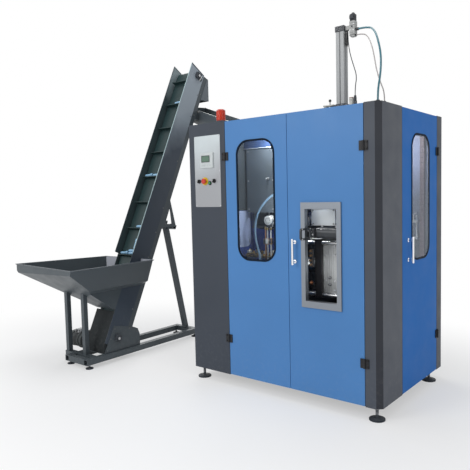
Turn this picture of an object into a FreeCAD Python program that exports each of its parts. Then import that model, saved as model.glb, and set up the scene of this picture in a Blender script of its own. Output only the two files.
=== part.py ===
import FreeCAD, Part
import math
import os
import re
import Sketcher

# Bottle blow moulding machine: sheet-metal cabinet with blow station and oven inside,
# a preform hopper with a steep belt elevator beside it, and a roller unscrambler.
# Millimetres, +Z up, front toward -Y. Lengths are laid out from the cabinet's front-left
# corner on the floor; the finished nodes are shifted so that the front-left foot is the datum.

sizes = {
    # cabinet outline
    "cabinet_width": 1572, "cabinet_depth": 1082, "cabinet_height": 1900, "foot_height": 85,
    "foot_inset": 50, "rear_foot_inset": 120, "foot_radius": 51, "sheet": 3, "door_gap": 4,
    "column_width": 359, "column_depth": 336, "right_bay": 563, "post_width": 105, "chamfer": 33,
    "side_door_front": 338, "rear_return": 102,
    "frame_tube": 40, "frame_inset": 30, "base_tube": 80, "tube_wall": 4,
    # doors and windows
    "door_depth": 25, "door_skin": 2, "door_lift": 4,
    "window_width": 338, "window_height": 868, "window_radius": 105, "window_drop": 153,
    "gasket_lip": 13, "gasket_bite": 5, "gasket_web": 2, "gasket_proud": 3,
    "opening_reach": 122, "opening_width": 235, "opening_bottom": 722, "opening_height": 615,
    "surround_side": 32, "surround_end": 44, "surround_proud": 10, "surround_wall": 4,
    "hinge_low": 365, "hinge_drop": 260, "hinge_height": 60, "hinge_leaf": 29, "hinge_plate": 6,
    "hinge_offset": 9, "knuckle_radius": 8, "pin_radius": 4, "pin_clearance": 0.05, "play": 0.3,
    "handle_inset": 52, "side_handle_inset": 93, "handle_bottom": 968, "handle_length": 160,
    "handle_bar_radius": 8, "handle_reach": 34,
    # control panel
    "plate_left": 54, "plate_width": 259, "plate_drop": 92, "plate_height": 538, "plate_thick": 2,
    "screen_left": 120, "screen_lift": 296, "bezel_width": 125, "bezel_height": 112, "bezel_depth": 8,
    "glass_left": 12, "glass_bottom": 42, "glass_width": 83, "glass_height": 51,
    "switch_lift": 196, "selector_one": 98, "stop_place": 157, "button_place": 206, "selector_two": 250,
    "button_drop": 15, "collar_radius": 15, "collar_depth": 4, "stem_radius": 9, "stop_head_radius": 20,
    "stop_plate_radius": 30, "knob_radius": 12,
    # roof
    "beacon_x": 202, "beacon_y": 150, "beacon_radius": 34.5, "beacon_base_height": 30, "beacon_height": 86,
    "station_inset": 261, "station_y": 300, "mount_height": 20, "mount_plate": 12, "mount_width": 150,
    "barrel_size": 58, "barrel_bore": 21, "barrel_length": 478, "cap_size": 66, "flange_height": 25,
    "cap_height": 36, "rod_radius": 8, "valve_gap": 34, "valve_width": 38, "valve_height": 85,
    # machine bed and blow station
    "bed_top": 665, "bed_thick": 25, "bed_side": 32, "bed_front": 100, "bed_back": 82,
    "bed_leg": 60, "deck_top": 1195, "deck_thick": 15, "deck_width": 509,
    "deck_front": 300, "deck_rear": 700, "deck_post": 45, "deck_post_front": 480,
    "platen_thick": 50, "platen_width": 300, "platen_bottom": 720, "platen_height": 400,
    "mould_thick": 90, "mould_width": 220, "mould_bottom": 745, "mould_height": 360, "mould_gap": 0.6,
    "clamp_stroke": 60, "end_plate": 25, "clamp_reach": 350, "tie_radius": 14, "tie_y": 132, "tie_z": 180,
    "clamp_level": 920, "clamp_cylinder_radius": 55, "clamp_cylinder_length": 145, "clamp_rod_radius": 20,
    "bottle_radius": 38, "bottle_neck_radius": 14, "bottle_bottom": 800, "bottle_shoulder": 1000,
    "portal_width": 245, "portal_thick": 40, "portal_y": 520, "portal_drop": 85, "bridge_level": 1240,
    "bridge_thick": 20, "guide_radius": 10, "guide_spread": 70, "nozzle_radius": 20, "nozzle_bottom": 1135,
    "carriage_level": 1690, "carriage_thick": 30, "carriage_width": 200, "carriage_depth": 90,
    "stretch_radius": 6, "stretch_tip": 1160, "piston_height": 30,
    "guard_width": 180, "guard_height": 116, "guard_front": 100, "guard_reach": 135,
    "arm_reach": 107, "arm_thick": 12, "hoop_front": -100, "hoop_rear": 30, "hoop_bottom": 1135,
    "hoop_height": 78, "hoop_bar": 13, "arm_cylinder_radius": 38, "arm_cylinder_reach": 97,
    "arm_cylinder_y": 88, "rail_width": 30, "rail_height": 36, "rail_front": 60,
    # oven
    "hood_side": 19, "hood_front": 222, "hood_rear": 660, "hood_bottom": 1305,
    "hood_height": 480, "lamp_radius": 7, "lamp_count": 4, "lamp_first": 1350, "lamp_pitch": 100,
    "lamp_inset": 70, "wheel_radius": 60, "wheel_side": 85, "wheel_y": 450,
    "chain_level": 1238, "chain_height": 24, "chain_thick": 14, "spindle_radius": 12, "mandrel_radius": 6.5,
    "mandrel_height": 60, "mandrel_pitch": 62, "motor_radius": 45, "motor_height": 180,
    # elevator, laid out along the incline from where its front edge meets the floor
    "incline": 65, "elevator_left": -1135, "elevator_foot": -299, "channel_width": 255, "channel_depth": 252,
    "plate_depth": 200, "plate_low": 200, "head_rise": 800, "top_slope": 30, "pan_low": 390,
    "pan_lap": 20, "pulley_depth": 119, "pulley_radius": 44.7, "tail_along": 275, "head_inset": 83,
    "belt_thick": 4, "belt_width": 225, "cleat_height": 40, "cleat_thick": 6, "cleat_first": 489,
    "cleat_end": 98, "cleat_count": 10, "shaft_radius": 12, "bearing_size": 60, "bearing_depth": 24,
    "slot_front": 88, "slot_rear": 190, "slot_height": 60, "chute_drop": 30, "chute_beyond": 40,
    "throat_level": 451, "step_along": 1035, "step_depth": 40,
    # hopper
    "hopper_near_x": -718, "hopper_back_y": 232, "hopper_far_back_x": -1390, "hopper_far_front_x": -1622,
    "hopper_near_front_y": -632, "hopper_far_front_y": -578, "hopper_rim": 875, "hopper_lip": 60,
    "hopper_near_fold": 675, "hopper_lean": 80, "hopper_tuck": 40, "hopper_flange": 8,
    "hopper_leg": 40, "hopper_leg_y": -330,
    "near_leg_x": -1038, "far_leg_x": -1283,
    # elevator base
    "rail_tube": 50, "pad_height": 35, "near_rail_x": -906, "far_rail_x": -1170, "base_front": -420,
    "base_rear": 955, "pad_radius": 32, "strut_size": 45, "strut_x": -1030, "strut_foot_y": 905,
    "strut_lean": 12.7, "strut_length": 1200, "bracket_low": 1381, "bracket_high": 1668,
    "bracket_reach": 421, "bracket_tip": 1460,
    "bracket_bar": 25, "gearmotor_radius": 76, "gearmotor_y": -195, "gearmotor_z": 165,
    "gearmotor_length": 155, "chain_cover": 30, "cover_round": 52,
    # unscrambler, laid out along its own slope
    "sorter_x": -1141, "sorter_beyond": 192.3, "sorter_rise": 407, "sorter_yaw": -25.5, "sorter_slope": 15.5,
    "sorter_length": 1187, "sorter_width": 200, "sorter_depth": 140, "sorter_sheet": 4,
    "roller_radius": 28, "roller_spread": 76, "roller_level": 62, "stub_radius": 8, "drive_box": 80,
    "slide_width": 80, "slide_depth": 35, "slide_length": 340, "slide_drop": 135,
    "stand_reach": 520, "stand_before": 262, "stand_drop": 95, "stand_tube": 40, "stand_height": 300,
    "gusset_long": 110, "gusset_deep": 160, "gusset_tall": 70,
    # hoses and cable
    "hose_diameter": 13, "pilot_diameter": 8, "cable_diameter": 6, "blow_hose_diameter": 16,
    "manifold_left": 117, "manifold_front": 110, "manifold_width": 120, "manifold_depth": 110,
    "manifold_height": 215, "manifold_port": 45, "gland_height": 25,
}

# sizes that follow from others, so that neighbouring pieces stay together when one changes
derived = {
    "roof_level": "foot_height + cabinet_height",
    "post_left": "cabinet_width - post_width", "doors_meet": "post_left - right_bay",
    "station_x": "doors_meet + station_inset", "opening_left": "station_x - opening_reach",
    "side_door_rear": "cabinet_depth - rear_return", "hinge_high": "roof_level - hinge_drop",
    "window_bottom": "roof_level - window_drop - window_height",
    "plate_bottom": "roof_level - plate_drop - plate_height",
    "screen_bottom": "plate_bottom + screen_lift", "switch_level": "plate_bottom + switch_lift",
    "bed_left": "column_width + 21", "bed_right": "cabinet_width - bed_side",
    "bed_rear": "cabinet_depth - bed_back",
    "deck_left": "column_width + 7", "deck_right": "deck_left + deck_width",
    "hood_left": "deck_left + hood_side", "hood_right": "deck_right - 7",
    "wheel_one_x": "deck_left + wheel_side + hood_side", "wheel_two_x": "deck_right - wheel_side",
    "portal_top": "roof_level - portal_drop", "guard_left": "station_x - guard_reach",
    "arm_left": "station_x - arm_reach", "arm_cylinder_end": "station_x + arm_cylinder_reach",
    "plate_top": "(roof_level + head_rise) / sin(incline)", "head_along": "plate_top - head_inset",
    "cleat_pitch": "(head_along - cleat_first - cleat_end) / (cleat_count - 1)",
    "tail_y": "elevator_foot + cos(incline) * tail_along + sin(incline) * pulley_depth",
    "tail_z": "sin(incline) * tail_along - cos(incline) * pulley_depth",
    "sorter_y": "elevator_foot + plate_top * cos(incline) + sorter_beyond",
    "sorter_z": "roof_level + sorter_rise",
    "chute_low": "sorter_z + chute_drop", "chute_rear": "sorter_y + chute_beyond",
    "stand_y": "sorter_y - stand_before", "stand_level": "roof_level - stand_drop",
    "hopper_long": "hopper_near_x - hopper_far_front_x",
    "hopper_wide": "hopper_back_y - hopper_near_front_y",
}

doc = FreeCAD.newDocument("blow_moulding_machine")
sheet = doc.addObject("Spreadsheet::Sheet", "Sizes")
rules = {alias: "=" + rule for alias, rule in derived.items()}
for row, (alias, value) in enumerate({**sizes, **rules}.items(), 1):
    sheet.set(f"A{row}", alias)
    sheet.set(f"B{row}", str(value))
    sheet.setAlias(f"B{row}", alias)
doc.recompute()

probe = doc.addObject("App::FeaturePython", "Probe")
probe.addProperty("App::PropertyFloat", "Amount")


def ex(text):
    """Turn size names in an expression into references to the sheet."""
    def swap(word):
        known = word.group() in sizes or word.group() in derived
        return "Sizes." + word.group() if known else word.group()
    return re.sub(r"[a-z][a-z0-9_]*", swap, str(text))


def amount(text):
    """The present value of an expression, worked out by the document."""
    probe.setExpression("Amount", ex(text))
    probe.recompute()
    return probe.Amount


# frames in which pieces are laid out: the machine, the incline of the elevator, the unscrambler
frames = {
    "machine": None,
    "incline": "placement(vector(elevator_left; elevator_foot; 0); rotation(0; 0; incline - 90))",
    "sorter": "placement(vector(sorter_x; sorter_y; sorter_z); rotation(sorter_yaw; sorter_slope; 0))",
}


def put(thing, corner, turn=(0, 0, 0), frame="machine"):
    own = "placement(vector({}; {}; {}); rotation({}; {}; {}))".format(*corner, *turn)
    if frames[frame]:
        own = frames[frame] + " * " + own
    thing.setExpression("Placement", ex(own))
    return thing


def box(name, corner, extent, frame="machine", turn=(0, 0, 0)):
    solid = doc.addObject("Part::Box", name)
    for side, text in zip(("Length", "Width", "Height"), extent):
        solid.setExpression(side, ex(text))
    return put(solid, corner, turn, frame)


along = {"x": (0, 90, 0), "y": (0, 0, -90), "z": (0, 0, 0)}


def cylinder(name, centre, radius, length, axis="z", frame="machine"):
    solid = doc.addObject("Part::Cylinder", name)
    solid.setExpression("Radius", ex(radius))
    solid.setExpression("Height", ex(length))
    return put(solid, centre, along[axis], frame)


def fuse(name, *solids):
    joined = doc.addObject("Part::MultiFuse", name)
    joined.Shapes = list(solids)
    joined.Refine = True
    return joined


def cut(name, solid, *tools):
    result = doc.addObject("Part::Cut", name)
    result.Base = solid
    result.Tool = tools[0] if len(tools) == 1 else fuse(name + "_tools", *tools)
    result.Refine = True
    return result


def common(name, *solids):
    result = doc.addObject("Part::MultiCommon", name)
    result.Shapes = list(solids)
    return result


def pinned(sketch, geometry, end, point, tag):
    """Hold one end of a line at a point given by two expressions."""
    for axis, text, value in zip("XY", point, (amount(point[0]), amount(point[1]))):
        number = sketch.addConstraint(
            Sketcher.Constraint("Distance" + axis, -1, 1, geometry, end, value))
        sketch.renameConstraint(number, tag + axis)
        sketch.setExpression("Constraints." + tag + axis, ex(text))


def polygon(sketch, points, tag):
    first = sketch.GeometryCount
    corners = [FreeCAD.Vector(amount(x), amount(y), 0) for x, y in points]
    count = len(corners)
    for index in range(count):
        sketch.addGeometry(Part.LineSegment(corners[index], corners[(index + 1) % count]))
    for index, point in enumerate(points):
        sketch.addConstraint(Sketcher.Constraint(
            "Coincident", first + index, 2, first + (index + 1) % count, 1))
        pinned(sketch, first + index, 1, point, f"{tag}{index}")


def rounded(sketch, left, low, right, high, radius, tag):
    """A rectangle with four equal round corners, tangent to its sides."""
    first = sketch.GeometryCount
    ends = [(f"{left} + {radius}", low), (f"{right} - {radius}", low),
            (right, f"{low} + {radius}"), (right, f"{high} - {radius}"),
            (f"{right} - {radius}", high), (f"{left} + {radius}", high),
            (left, f"{high} - {radius}"), (left, f"{low} + {radius}")]
    spots = [FreeCAD.Vector(amount(x), amount(y), 0) for x, y in ends]
    for index in range(0, 8, 2):
        sketch.addGeometry(Part.LineSegment(spots[index], spots[index + 1]))
    for index, point in enumerate(ends):
        pinned(sketch, first + index // 2, 1 + index % 2, point, f"{tag}{index}")
    centres = [(spots[1].x, spots[2].y), (spots[4].x, spots[3].y),
               (spots[5].x, spots[6].y), (spots[0].x, spots[7].y)]
    for side, (x, y) in enumerate(centres):
        circle = Part.Circle(FreeCAD.Vector(x, y, 0), FreeCAD.Vector(0, 0, 1), amount(radius))
        start = math.radians(90 * side - 90)
        arc = sketch.addGeometry(Part.ArcOfCircle(circle, start, start + math.pi / 2))
        sketch.addConstraint(Sketcher.Constraint("Tangent", first + side, 2, arc, 1))
        sketch.addConstraint(Sketcher.Constraint("Coincident", arc, 2, first + (side + 1) % 4, 1))


def hole(sketch, x, y, radius, tag):
    circle = Part.Circle(FreeCAD.Vector(amount(x), amount(y), 0), FreeCAD.Vector(0, 0, 1), amount(radius))
    item = sketch.addGeometry(circle)
    pinned(sketch, item, 3, (x, y), tag)
    number = sketch.addConstraint(Sketcher.Constraint("Radius", item, amount(radius)))
    sketch.renameConstraint(number, tag + "R")
    sketch.setExpression("Constraints." + tag + "R", ex(radius))


loops = {"polygon": polygon, "rounded": rounded, "hole": hole}
# how a sketch lies: plan is extruded up, front is seen from the front and extruded back,
# side is seen from the right with Y across and is extruded to the right
views = {"plan": (0, 0, 0), "front": (0, 0, 90), "side": (90, 0, 90)}


def profile(body, outlines):
    sketch = body.newObject("Sketcher::SketchObject", body.Name + "_outline")
    plane = [item for item in body.Origin.OriginFeatures if item.Role == "XY_Plane"][0]
    sketch.AttachmentSupport = [(plane, "")]
    sketch.MapMode = "FlatFace"
    for number, (kind, *shape) in enumerate(outlines):
        loops[kind](sketch, *shape, f"loop{number}_")
    return sketch


def prism(name, outlines, length, view="plan", at=(0, 0, 0), frame="machine"):
    body = doc.addObject("PartDesign::Body", name)
    sketch = profile(body, outlines)
    pad = body.newObject("PartDesign::Pad", name + "_pad")
    pad.Profile = sketch
    pad.setExpression("Length", ex(length))
    pad.Reversed = view == "front"
    return put(body, at, views[view], frame)


def turned(name, points, at, turn=(0, 0, 90), frame="machine"):
    """A turned piece: half section as (radius, height) pairs, upright unless turned."""
    body = doc.addObject("PartDesign::Body", name)
    sketch = profile(body, [("polygon", points)])
    spin = body.newObject("PartDesign::Revolution", name + "_turn")
    spin.Profile = sketch
    spin.ReferenceAxis = (sketch, ["V_Axis"])
    spin.Angle = 360
    return put(body, at, turn, frame)


def tube(name, corner, size, length, axis="z", frame="machine"):
    """Square hollow section of even wall, from its lowest corner along x, y or z."""
    far = f"({size} - tube_wall)"
    return prism(name, [
        ("polygon", [(0, 0), (size, 0), (size, size), (0, size)]),
        ("polygon", [("tube_wall", "tube_wall"), (far, "tube_wall"), (far, far), ("tube_wall", far)])],
        length, {"x": "side", "y": "front", "z": "plan"}[axis], corner, frame)


nodes = []


def node(name, *solids):
    """One sub-part of the machine: its solids, moved to the datum foot."""
    part = doc.addObject("Part::Compound", name)
    part.Links = list(solids)
    part.Label = name
    part.setExpression("Placement", ex("placement(vector(-foot_inset; -foot_inset; 0); rotation(0; 0; 0))"))
    nodes.append(part)
    return part


top = "(foot_height + cabinet_height)"


# ---- cabinet: base, frame, skins --------------------------------------------------------------
def cabinetFrame():
    low, high = "foot_height", f"({top} - sheet - frame_tube)"
    near, far_x, far_y = "frame_inset", "(cabinet_width - frame_inset)", "(cabinet_depth - frame_inset)"
    tubes = []
    for label, size, level in (("base", "base_tube", low), ("crown", "frame_tube", high)):
        for side, y in (("front", near), ("rear", f"{far_y} - {size}")):
            tubes.append(tube(f"{label}_{side}", (near, y, level), size, f"{far_x} - {near}", "x"))
        for side, x in (("left", near), ("right", f"{far_x} - {size}")):
            tubes.append(tube(f"{label}_{side}", (x, f"{near} + {size}", level), size,
                              f"{far_y} - {near} - 2 * {size}", "y"))
    floor = box("base_floor", (f"{near} + base_tube", f"{near} + base_tube", "foot_height + base_tube - sheet"),
                (f"{far_x} - {near} - 2 * base_tube", f"{far_y} - {near} - 2 * base_tube", "sheet"))
    for label, x, y in (("rear_left", near, f"{far_y} - frame_tube"),
                        ("rear_right", f"{far_x} - frame_tube", f"{far_y} - frame_tube"),
                        ("front_right", f"{far_x} - frame_tube", f"{near} + 2 * sheet"),
                        ("front_left", near, near)):
        tubes.append(tube("post_" + label, (x, y, "foot_height + base_tube"), "frame_tube",
                          f"{high} - foot_height - base_tube"))
    pads = [box(f"post_pad_{index}", (far_x, f"{near} + 2 * sheet", f"foot_height + {level}"),
                (f"{near} - sheet", "frame_tube", "frame_tube"))
            for index, level in enumerate((120, "cabinet_height / 2 - 50", "cabinet_height - 160"))]
    node("main_frame", floor, *tubes, *pads)


def levellingFeet():
    feet = []
    for side, x in (("left", "foot_inset"), ("right", "cabinet_width - foot_inset")):
        for place, y in (("front", "foot_inset"), ("rear", "cabinet_depth - rear_foot_inset")):
            feet.append(turned(f"foot_{place}_{side}", [
                (0, 0), ("foot_radius", 0), ("foot_radius", 9), (22, 17), (10, 17),
                (10, "foot_height - 12"), (17, "foot_height - 12"), (17, "foot_height"),
                (0, "foot_height")], (x, y, 0)))
    return feet


def controlColumn():
    outer = box("column_outer", (0, 0, "foot_height"), ("column_width", "column_depth", "cabinet_height"))
    inner = box("column_inner", ("sheet", "sheet", "foot_height + base_tube + frame_inset"),
                ("column_width - 2 * sheet", "column_depth - 2 * sheet",
                 "cabinet_height - base_tube - frame_inset - frame_tube - 2 * sheet"))
    notch = box("column_low_notch", ("frame_inset", "frame_inset", "foot_height - 1"),
                ("column_width", "column_depth", "base_tube + frame_inset + 2"))
    crown = box("column_top_notch", ("frame_inset", "frame_inset", f"{top} - frame_tube - 3 * sheet"),
                ("column_width", "column_depth", "frame_tube + 4 * sheet"))
    bores = []
    for label, x, z in switches():
        bores.append(cylinder("column_bore_" + label, (x, -1, z), "stem_radius + 1", "sheet + 2", "y"))
    node("control_column", cut("column_shell", outer, inner, notch, crown, *bores))


def switches():
    return (("one", "selector_one", "switch_level"), ("stop", "stop_place", "switch_level"),
            ("button", "button_place", "switch_level - button_drop"),
            ("two", "selector_two", "switch_level"))


def cornerPost():
    right, edge = "cabinet_width", "(side_door_front - door_gap)"
    post = prism("post_sheet", [("polygon", [
        ("post_left", 0), (f"{right} - chamfer", 0), (right, "chamfer"), (right, edge),
        (f"{right} - door_depth", edge), (f"{right} - door_depth", f"{edge} - sheet"),
        (f"{right} - sheet", f"{edge} - sheet"), (f"{right} - sheet", "chamfer + sheet * 0.414"),
        (f"{right} - chamfer - sheet * 0.414", "sheet"), ("post_left + sheet", "sheet"),
        ("post_left + sheet", "door_depth"), ("post_left", "door_depth")])],
        "cabinet_height", at=(0, 0, "foot_height"))
    node("corner_post", post)


def outerPanels():
    right, back, edge = "cabinet_width", "cabinet_depth", "(side_door_rear + door_gap)"
    skin = prism("rear_sheet", [("polygon", [
        (right, edge), (right, back), (0, back), (0, f"{back} - door_depth"),
        ("sheet", f"{back} - door_depth"), ("sheet", f"{back} - sheet"),
        (f"{right} - sheet", f"{back} - sheet"), (f"{right} - sheet", f"{edge} + sheet"),
        (f"{right} - door_depth", f"{edge} + sheet"), (f"{right} - door_depth", edge)])],
        "cabinet_height", at=(0, 0, "foot_height"))
    slots = []
    for bank in range(2):
        for index in range(8):
            left = f"cabinet_width * {0.16 + 0.42 * bank:.2f}"
            level = f"{top} - {220 + 36 * index}"
            slots.append(box(f"louvre_{bank}_{index}", (left, f"{back} - sheet - 1", level),
                             ("cabinet_width * 0.26", "sheet + 2", 12)))
    rear = cut("rear_vented", skin, *slots)
    wall = box("left_sheet", (0, "column_depth", "foot_height"),
               ("sheet", "cabinet_depth - column_depth - door_depth", "cabinet_height"))
    slot = box("slide_slot", ("sorter_length", "sorter_width / 2 - slide_width / 2 - 5", "-slide_drop - 20"),
               ("slide_length + 60", "slide_width + 10", "slide_depth + 12"), "sorter")
    right, back, flange = "cabinet_width", "(cabinet_depth - sheet)", "(door_depth + door_gap)"
    front_stop, rear_stop = "side_door_front - door_gap - sheet", "side_door_rear + door_gap + sheet"
    plate = prism("roof_sheet", [("polygon", [
        ("frame_inset", "frame_inset"), (f"{right} - 12", "frame_inset"), (f"{right} - sheet", "frame_inset + 9"),
        (f"{right} - sheet", front_stop), (f"{right} - {flange}", front_stop), (f"{right} - {flange}", rear_stop),
        (f"{right} - sheet", rear_stop), (f"{right} - sheet", back), ("sheet", back), ("sheet", "column_depth"),
        ("frame_inset", "column_depth")])], "sheet", at=(0, 0, f"{top} - sheet"))
    bore = cylinder("roof_bore", ("station_x", "station_y", f"{top} - 2 * sheet"),
                    "rod_radius + 4", "3 * sheet")
    node("cabinet_panels", rear, cut("left_wall", wall, slot), cut("roof_skin", plate, bore))


# ---- doors ------------------------------------------------------------------------------------
def doorPan(name, left, width, hole_solid):
    low = "foot_height + door_lift"
    tall = "cabinet_height - 2 * door_lift"
    outer = box(name + "_outer", (left, 0, low), (width, "door_depth", tall))
    inner = box(name + "_inner", (f"{left} + door_skin", "door_skin", f"{low} + door_skin"),
                (f"{width} - 2 * door_skin", "door_depth", f"{tall} - 2 * door_skin"))
    return cut(name + "_pan", outer, inner, hole_solid)


def windowRing(name, inset, grow_front, depth, middle):
    left = f"({middle} - window_width / 2 + {inset})"
    right = f"({middle} + window_width / 2 - {inset})"
    low, high = f"(window_bottom + {inset})", f"(window_bottom + window_height - {inset})"
    return ("rounded", left, low, right, high, f"(window_radius - {inset})")


def windowSet(prefix, middle, place):
    """Glass and H-section rubber for a window whose front face lies at y = 0."""
    bite, web = "gasket_bite", "(gasket_bite + gasket_web)"
    glass = prism(prefix + "_glass", [windowRing("", web, 0, 0, middle)], "door_skin", "front", **place(0))
    lips = prism(prefix + "_lips", [windowRing("", "0", 0, 0, middle),
                                    windowRing("", "gasket_lip", 0, 0, middle)],
                 "2 * gasket_proud + door_skin", "front", **place("-gasket_proud"))
    skin_slot = prism(prefix + "_skin_slot", [windowRing("", "-20", 0, 0, middle),
                                              windowRing("", bite, 0, 0, middle)],
                      "door_skin", "front", **place(0))
    glass_slot = prism(prefix + "_glass_slot", [windowRing("", web, 0, 0, middle)],
                       "door_skin", "front", **place(0))
    return glass, cut(prefix + "_gasket_profile", lips, skin_slot, glass_slot)


def leftDoor(leaves):
    left, right = "(column_width + door_gap)", "(doors_meet - door_gap / 2)"
    middle = f"(({left} + {right}) / 2)"
    place = lambda y: {"at": (0, y, 0)}
    opening = prism("left_window_hole", [windowRing("", "gasket_bite", 0, 0, middle)],
                    "door_depth", "front", at=(0, -1, 0))
    node("left_door", doorPan("left_door", left, f"{right} - {left}", opening), *leaves)
    glass, gasket = windowSet("left", middle, place)
    node("left_window", glass)
    node("left_gasket", gasket)


def rightDoor(leaves):
    left, right = "(doors_meet + door_gap / 2)", "(post_left - door_gap)"
    low, high = "opening_bottom", "(opening_bottom + opening_height)"
    edge = "(opening_left + opening_width)"
    wall = "surround_wall"
    opening = box("front_hole", (f"opening_left - {wall}", -1, f"{low} - {wall}"),
                  (f"opening_width + 2 * {wall}", "door_depth + 2", f"opening_height + 2 * {wall}"))
    node("right_door", doorPan("right_door", left, f"{right} - {left}", opening), *leaves)
    face = prism("surround_face", [
        ("polygon", [("opening_left - surround_side", f"{low} - surround_end"),
                     (f"{edge} + surround_side", f"{low} - surround_end"),
                     (f"{edge} + surround_side", f"{high} + surround_end"),
                     ("opening_left - surround_side", f"{high} + surround_end")]),
        ("polygon", [("opening_left", low), (edge, low), (edge, high), ("opening_left", high)])],
        "surround_proud", "front", at=(0, "-surround_proud", 0))
    sleeve = prism("surround_sleeve", [
        ("polygon", [(f"opening_left - {wall}", f"{low} - {wall}"), (f"{edge} + {wall}", f"{low} - {wall}"),
                     (f"{edge} + {wall}", f"{high} + {wall}"), (f"opening_left - {wall}", f"{high} + {wall}")]),
        ("polygon", [("opening_left", low), (edge, low), (edge, high), ("opening_left", high)])],
        "door_depth + 2", "front", at=(0, -1, 0))
    node("opening_frame", fuse("surround", face, sleeve))
    node("right_door_handle", handle("front", (f"{left} + handle_inset", 0), "front"))


def sideDoor(leaves):
    # laid out as a front door and swung to face right
    long = "(side_door_rear - side_door_front)"
    middle = f"({long} / 2)"
    swing = lambda y: {"at": ("0", y, "0")}
    opening = prism("side_window_hole", [windowRing("", "gasket_bite", 0, 0, middle)],
                    "door_depth", "front", at=(0, -1, 0))
    pan = doorPan("side_door", "0", long, opening)
    glass, gasket = windowSet("side", middle, swing)
    for thing, name in ((pan, "side_door"), (glass, "side_window"), (gasket, "side_gasket")):
        turnedOut = doc.addObject("Part::Compound", name + "_in_place")
        turnedOut.Links = [thing]
        put(turnedOut, ("cabinet_width", "side_door_front", 0), (90, 0, 0))
        node(name, turnedOut, *(leaves if name == "side_door" else ()))
    bar = handle("side", ("side_handle_inset", 0), "front")
    turnedOut = doc.addObject("Part::Compound", "side_handle_in_place")
    turnedOut.Links = [bar]
    put(turnedOut, ("cabinet_width", "side_door_front", 0), (90, 0, 0))
    node("side_door_handle", turnedOut)


def handle(prefix, spot, view):
    """Round bar with bevelled ends on two standoffs with roses."""
    x, y = spot
    radius, long = "handle_bar_radius", "handle_length + 2 * handle_bar_radius"
    pieces = [turned(prefix + "_bar", [(0, 0), (f"{radius} - 2", 0), (radius, 2), (radius, f"{long} - 2"),
                                       (f"{radius} - 2", long), (0, long)],
                     (x, "-handle_reach", f"handle_bottom - {radius}"))]
    for index, level in enumerate(("handle_bottom + 14", "handle_bottom + handle_length - 14")):
        pieces.append(cylinder(f"{prefix}_post_{index}", (x, "-handle_reach", level), f"{radius} - 2",
                               "handle_reach", "y"))
        pieces.append(cylinder(f"{prefix}_rose_{index}", (x, -4, level), f"{radius} + 5", 4, "y"))
    return fuse(prefix + "_handle", *pieces)


def hinge(name, x, y, z, yaw, door_side):
    """A block hinge round an upright pin: the lower knuckle is fixed, the upper one turns."""
    half = "hinge_height / 2"
    reach = "(knuckle_radius + 1)"

    def leaf(label, side, own_low):
        # full plate outside the knuckles, with a root only beside its own knuckle
        outside = f"{reach}" if side > 0 else "-hinge_leaf"
        plate = box(f"{name}_{label}_leaf", (outside, "hinge_offset - hinge_plate", f"-{half}"),
                    (f"hinge_leaf - {reach}", "hinge_plate", "hinge_height"))
        root = box(f"{name}_{label}_root", ("0" if side > 0 else f"-{reach}", "hinge_offset - hinge_plate",
                                            f"-{half}" if own_low else "play / 2"),
                   (reach, "hinge_plate", f"{half} - play / 2"))
        return plate, root
    fixed = fuse(name + "_fixed", *leaf("fixed", -door_side, True),
                 cylinder(name + "_low_knuckle", (0, 0, f"-{half}"), "knuckle_radius", f"{half} - play / 2"),
                 cylinder(name + "_pin", (0, 0, f"-{half}"), "pin_radius", "hinge_height - 1"))
    bored = cut(name + "_moving", fuse(name + "_moving_blank", *leaf("moving", door_side, False),
                cylinder(name + "_high_knuckle", (0, 0, "play / 2"), "knuckle_radius", f"{half} - play / 2")),
                cylinder(name + "_pin_bore", (0, 0, f"-{half}"), "pin_radius + pin_clearance",
                         "hinge_height + 2"))
    for thing in (fixed, bored):
        put(thing, (x, y, z), (yaw, 0, 0))
    return fixed, bored


def doors():
    fixed = []
    for door, x, y, yaw, side in (
            ("left_door", "column_width + door_gap / 2", "-hinge_offset", 0, 1),
            ("right_door", "post_left - door_gap / 2", "-hinge_offset", 0, -1),
            ("side_door", "cabinet_width + hinge_offset", "side_door_rear + door_gap / 2", 90, -1)):
        moving = []
        for place, z in (("low", "hinge_low"), ("high", "hinge_high")):
            still, swinging = hinge(f"{door}_hinge_{place}", x, y, z, yaw, side)
            fixed.append(still)
            moving.append(swinging)
        {"left_door": leftDoor, "right_door": rightDoor, "side_door": sideDoor}[door](moving)
    node("hinge_blocks", *fixed)


# ---- control panel ------------------------------------------------------------------------------
def controlPanel():
    bores = [("hole", x, z, "stem_radius + 1") for label, x, z in switches()]
    plate = prism("panel_plate", [
        ("rounded", "plate_left", "plate_bottom", "(plate_left + plate_width)",
         "(plate_bottom + plate_height)", "8"), *bores],
        "plate_thick", "front", at=(0, "-plate_thick", 0))
    node("control_plate", plate)
    body = prism("bezel_body", [
        ("rounded", "screen_left", "screen_bottom", "(screen_left + bezel_width)",
         "(screen_bottom + bezel_height)", "6")],
        "bezel_depth", "front", at=(0, "-plate_thick - bezel_depth", 0))
    pocket = box("bezel_pocket", ("screen_left + glass_left", "-plate_thick - bezel_depth - 1",
                                  "screen_bottom + glass_bottom"), ("glass_width", 3, "glass_height"))
    node("operator_panel", cut("bezel", body, pocket), box("screen_glass", (
        "screen_left + glass_left + 0.3", "-plate_thick - bezel_depth + 0.5",
        "screen_bottom + glass_bottom + 0.3"), ("glass_width - 0.6", 1.5, "glass_height - 0.6")))
    collars = []
    for label, x, z in switches():
        radius = "stop_plate_radius" if label == "stop" else "collar_radius"
        ring = cylinder("collar_" + label, (x, "-plate_thick - collar_depth", z), radius, "collar_depth", "y")
        bore = cylinder("collar_bore_" + label, (x, "-plate_thick - collar_depth - 1", z),
                        "stem_radius + play", "collar_depth + 2", "y")
        collars.append(cut("collar_ring_" + label, ring, bore))
    node("switch_collars", *collars)


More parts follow.
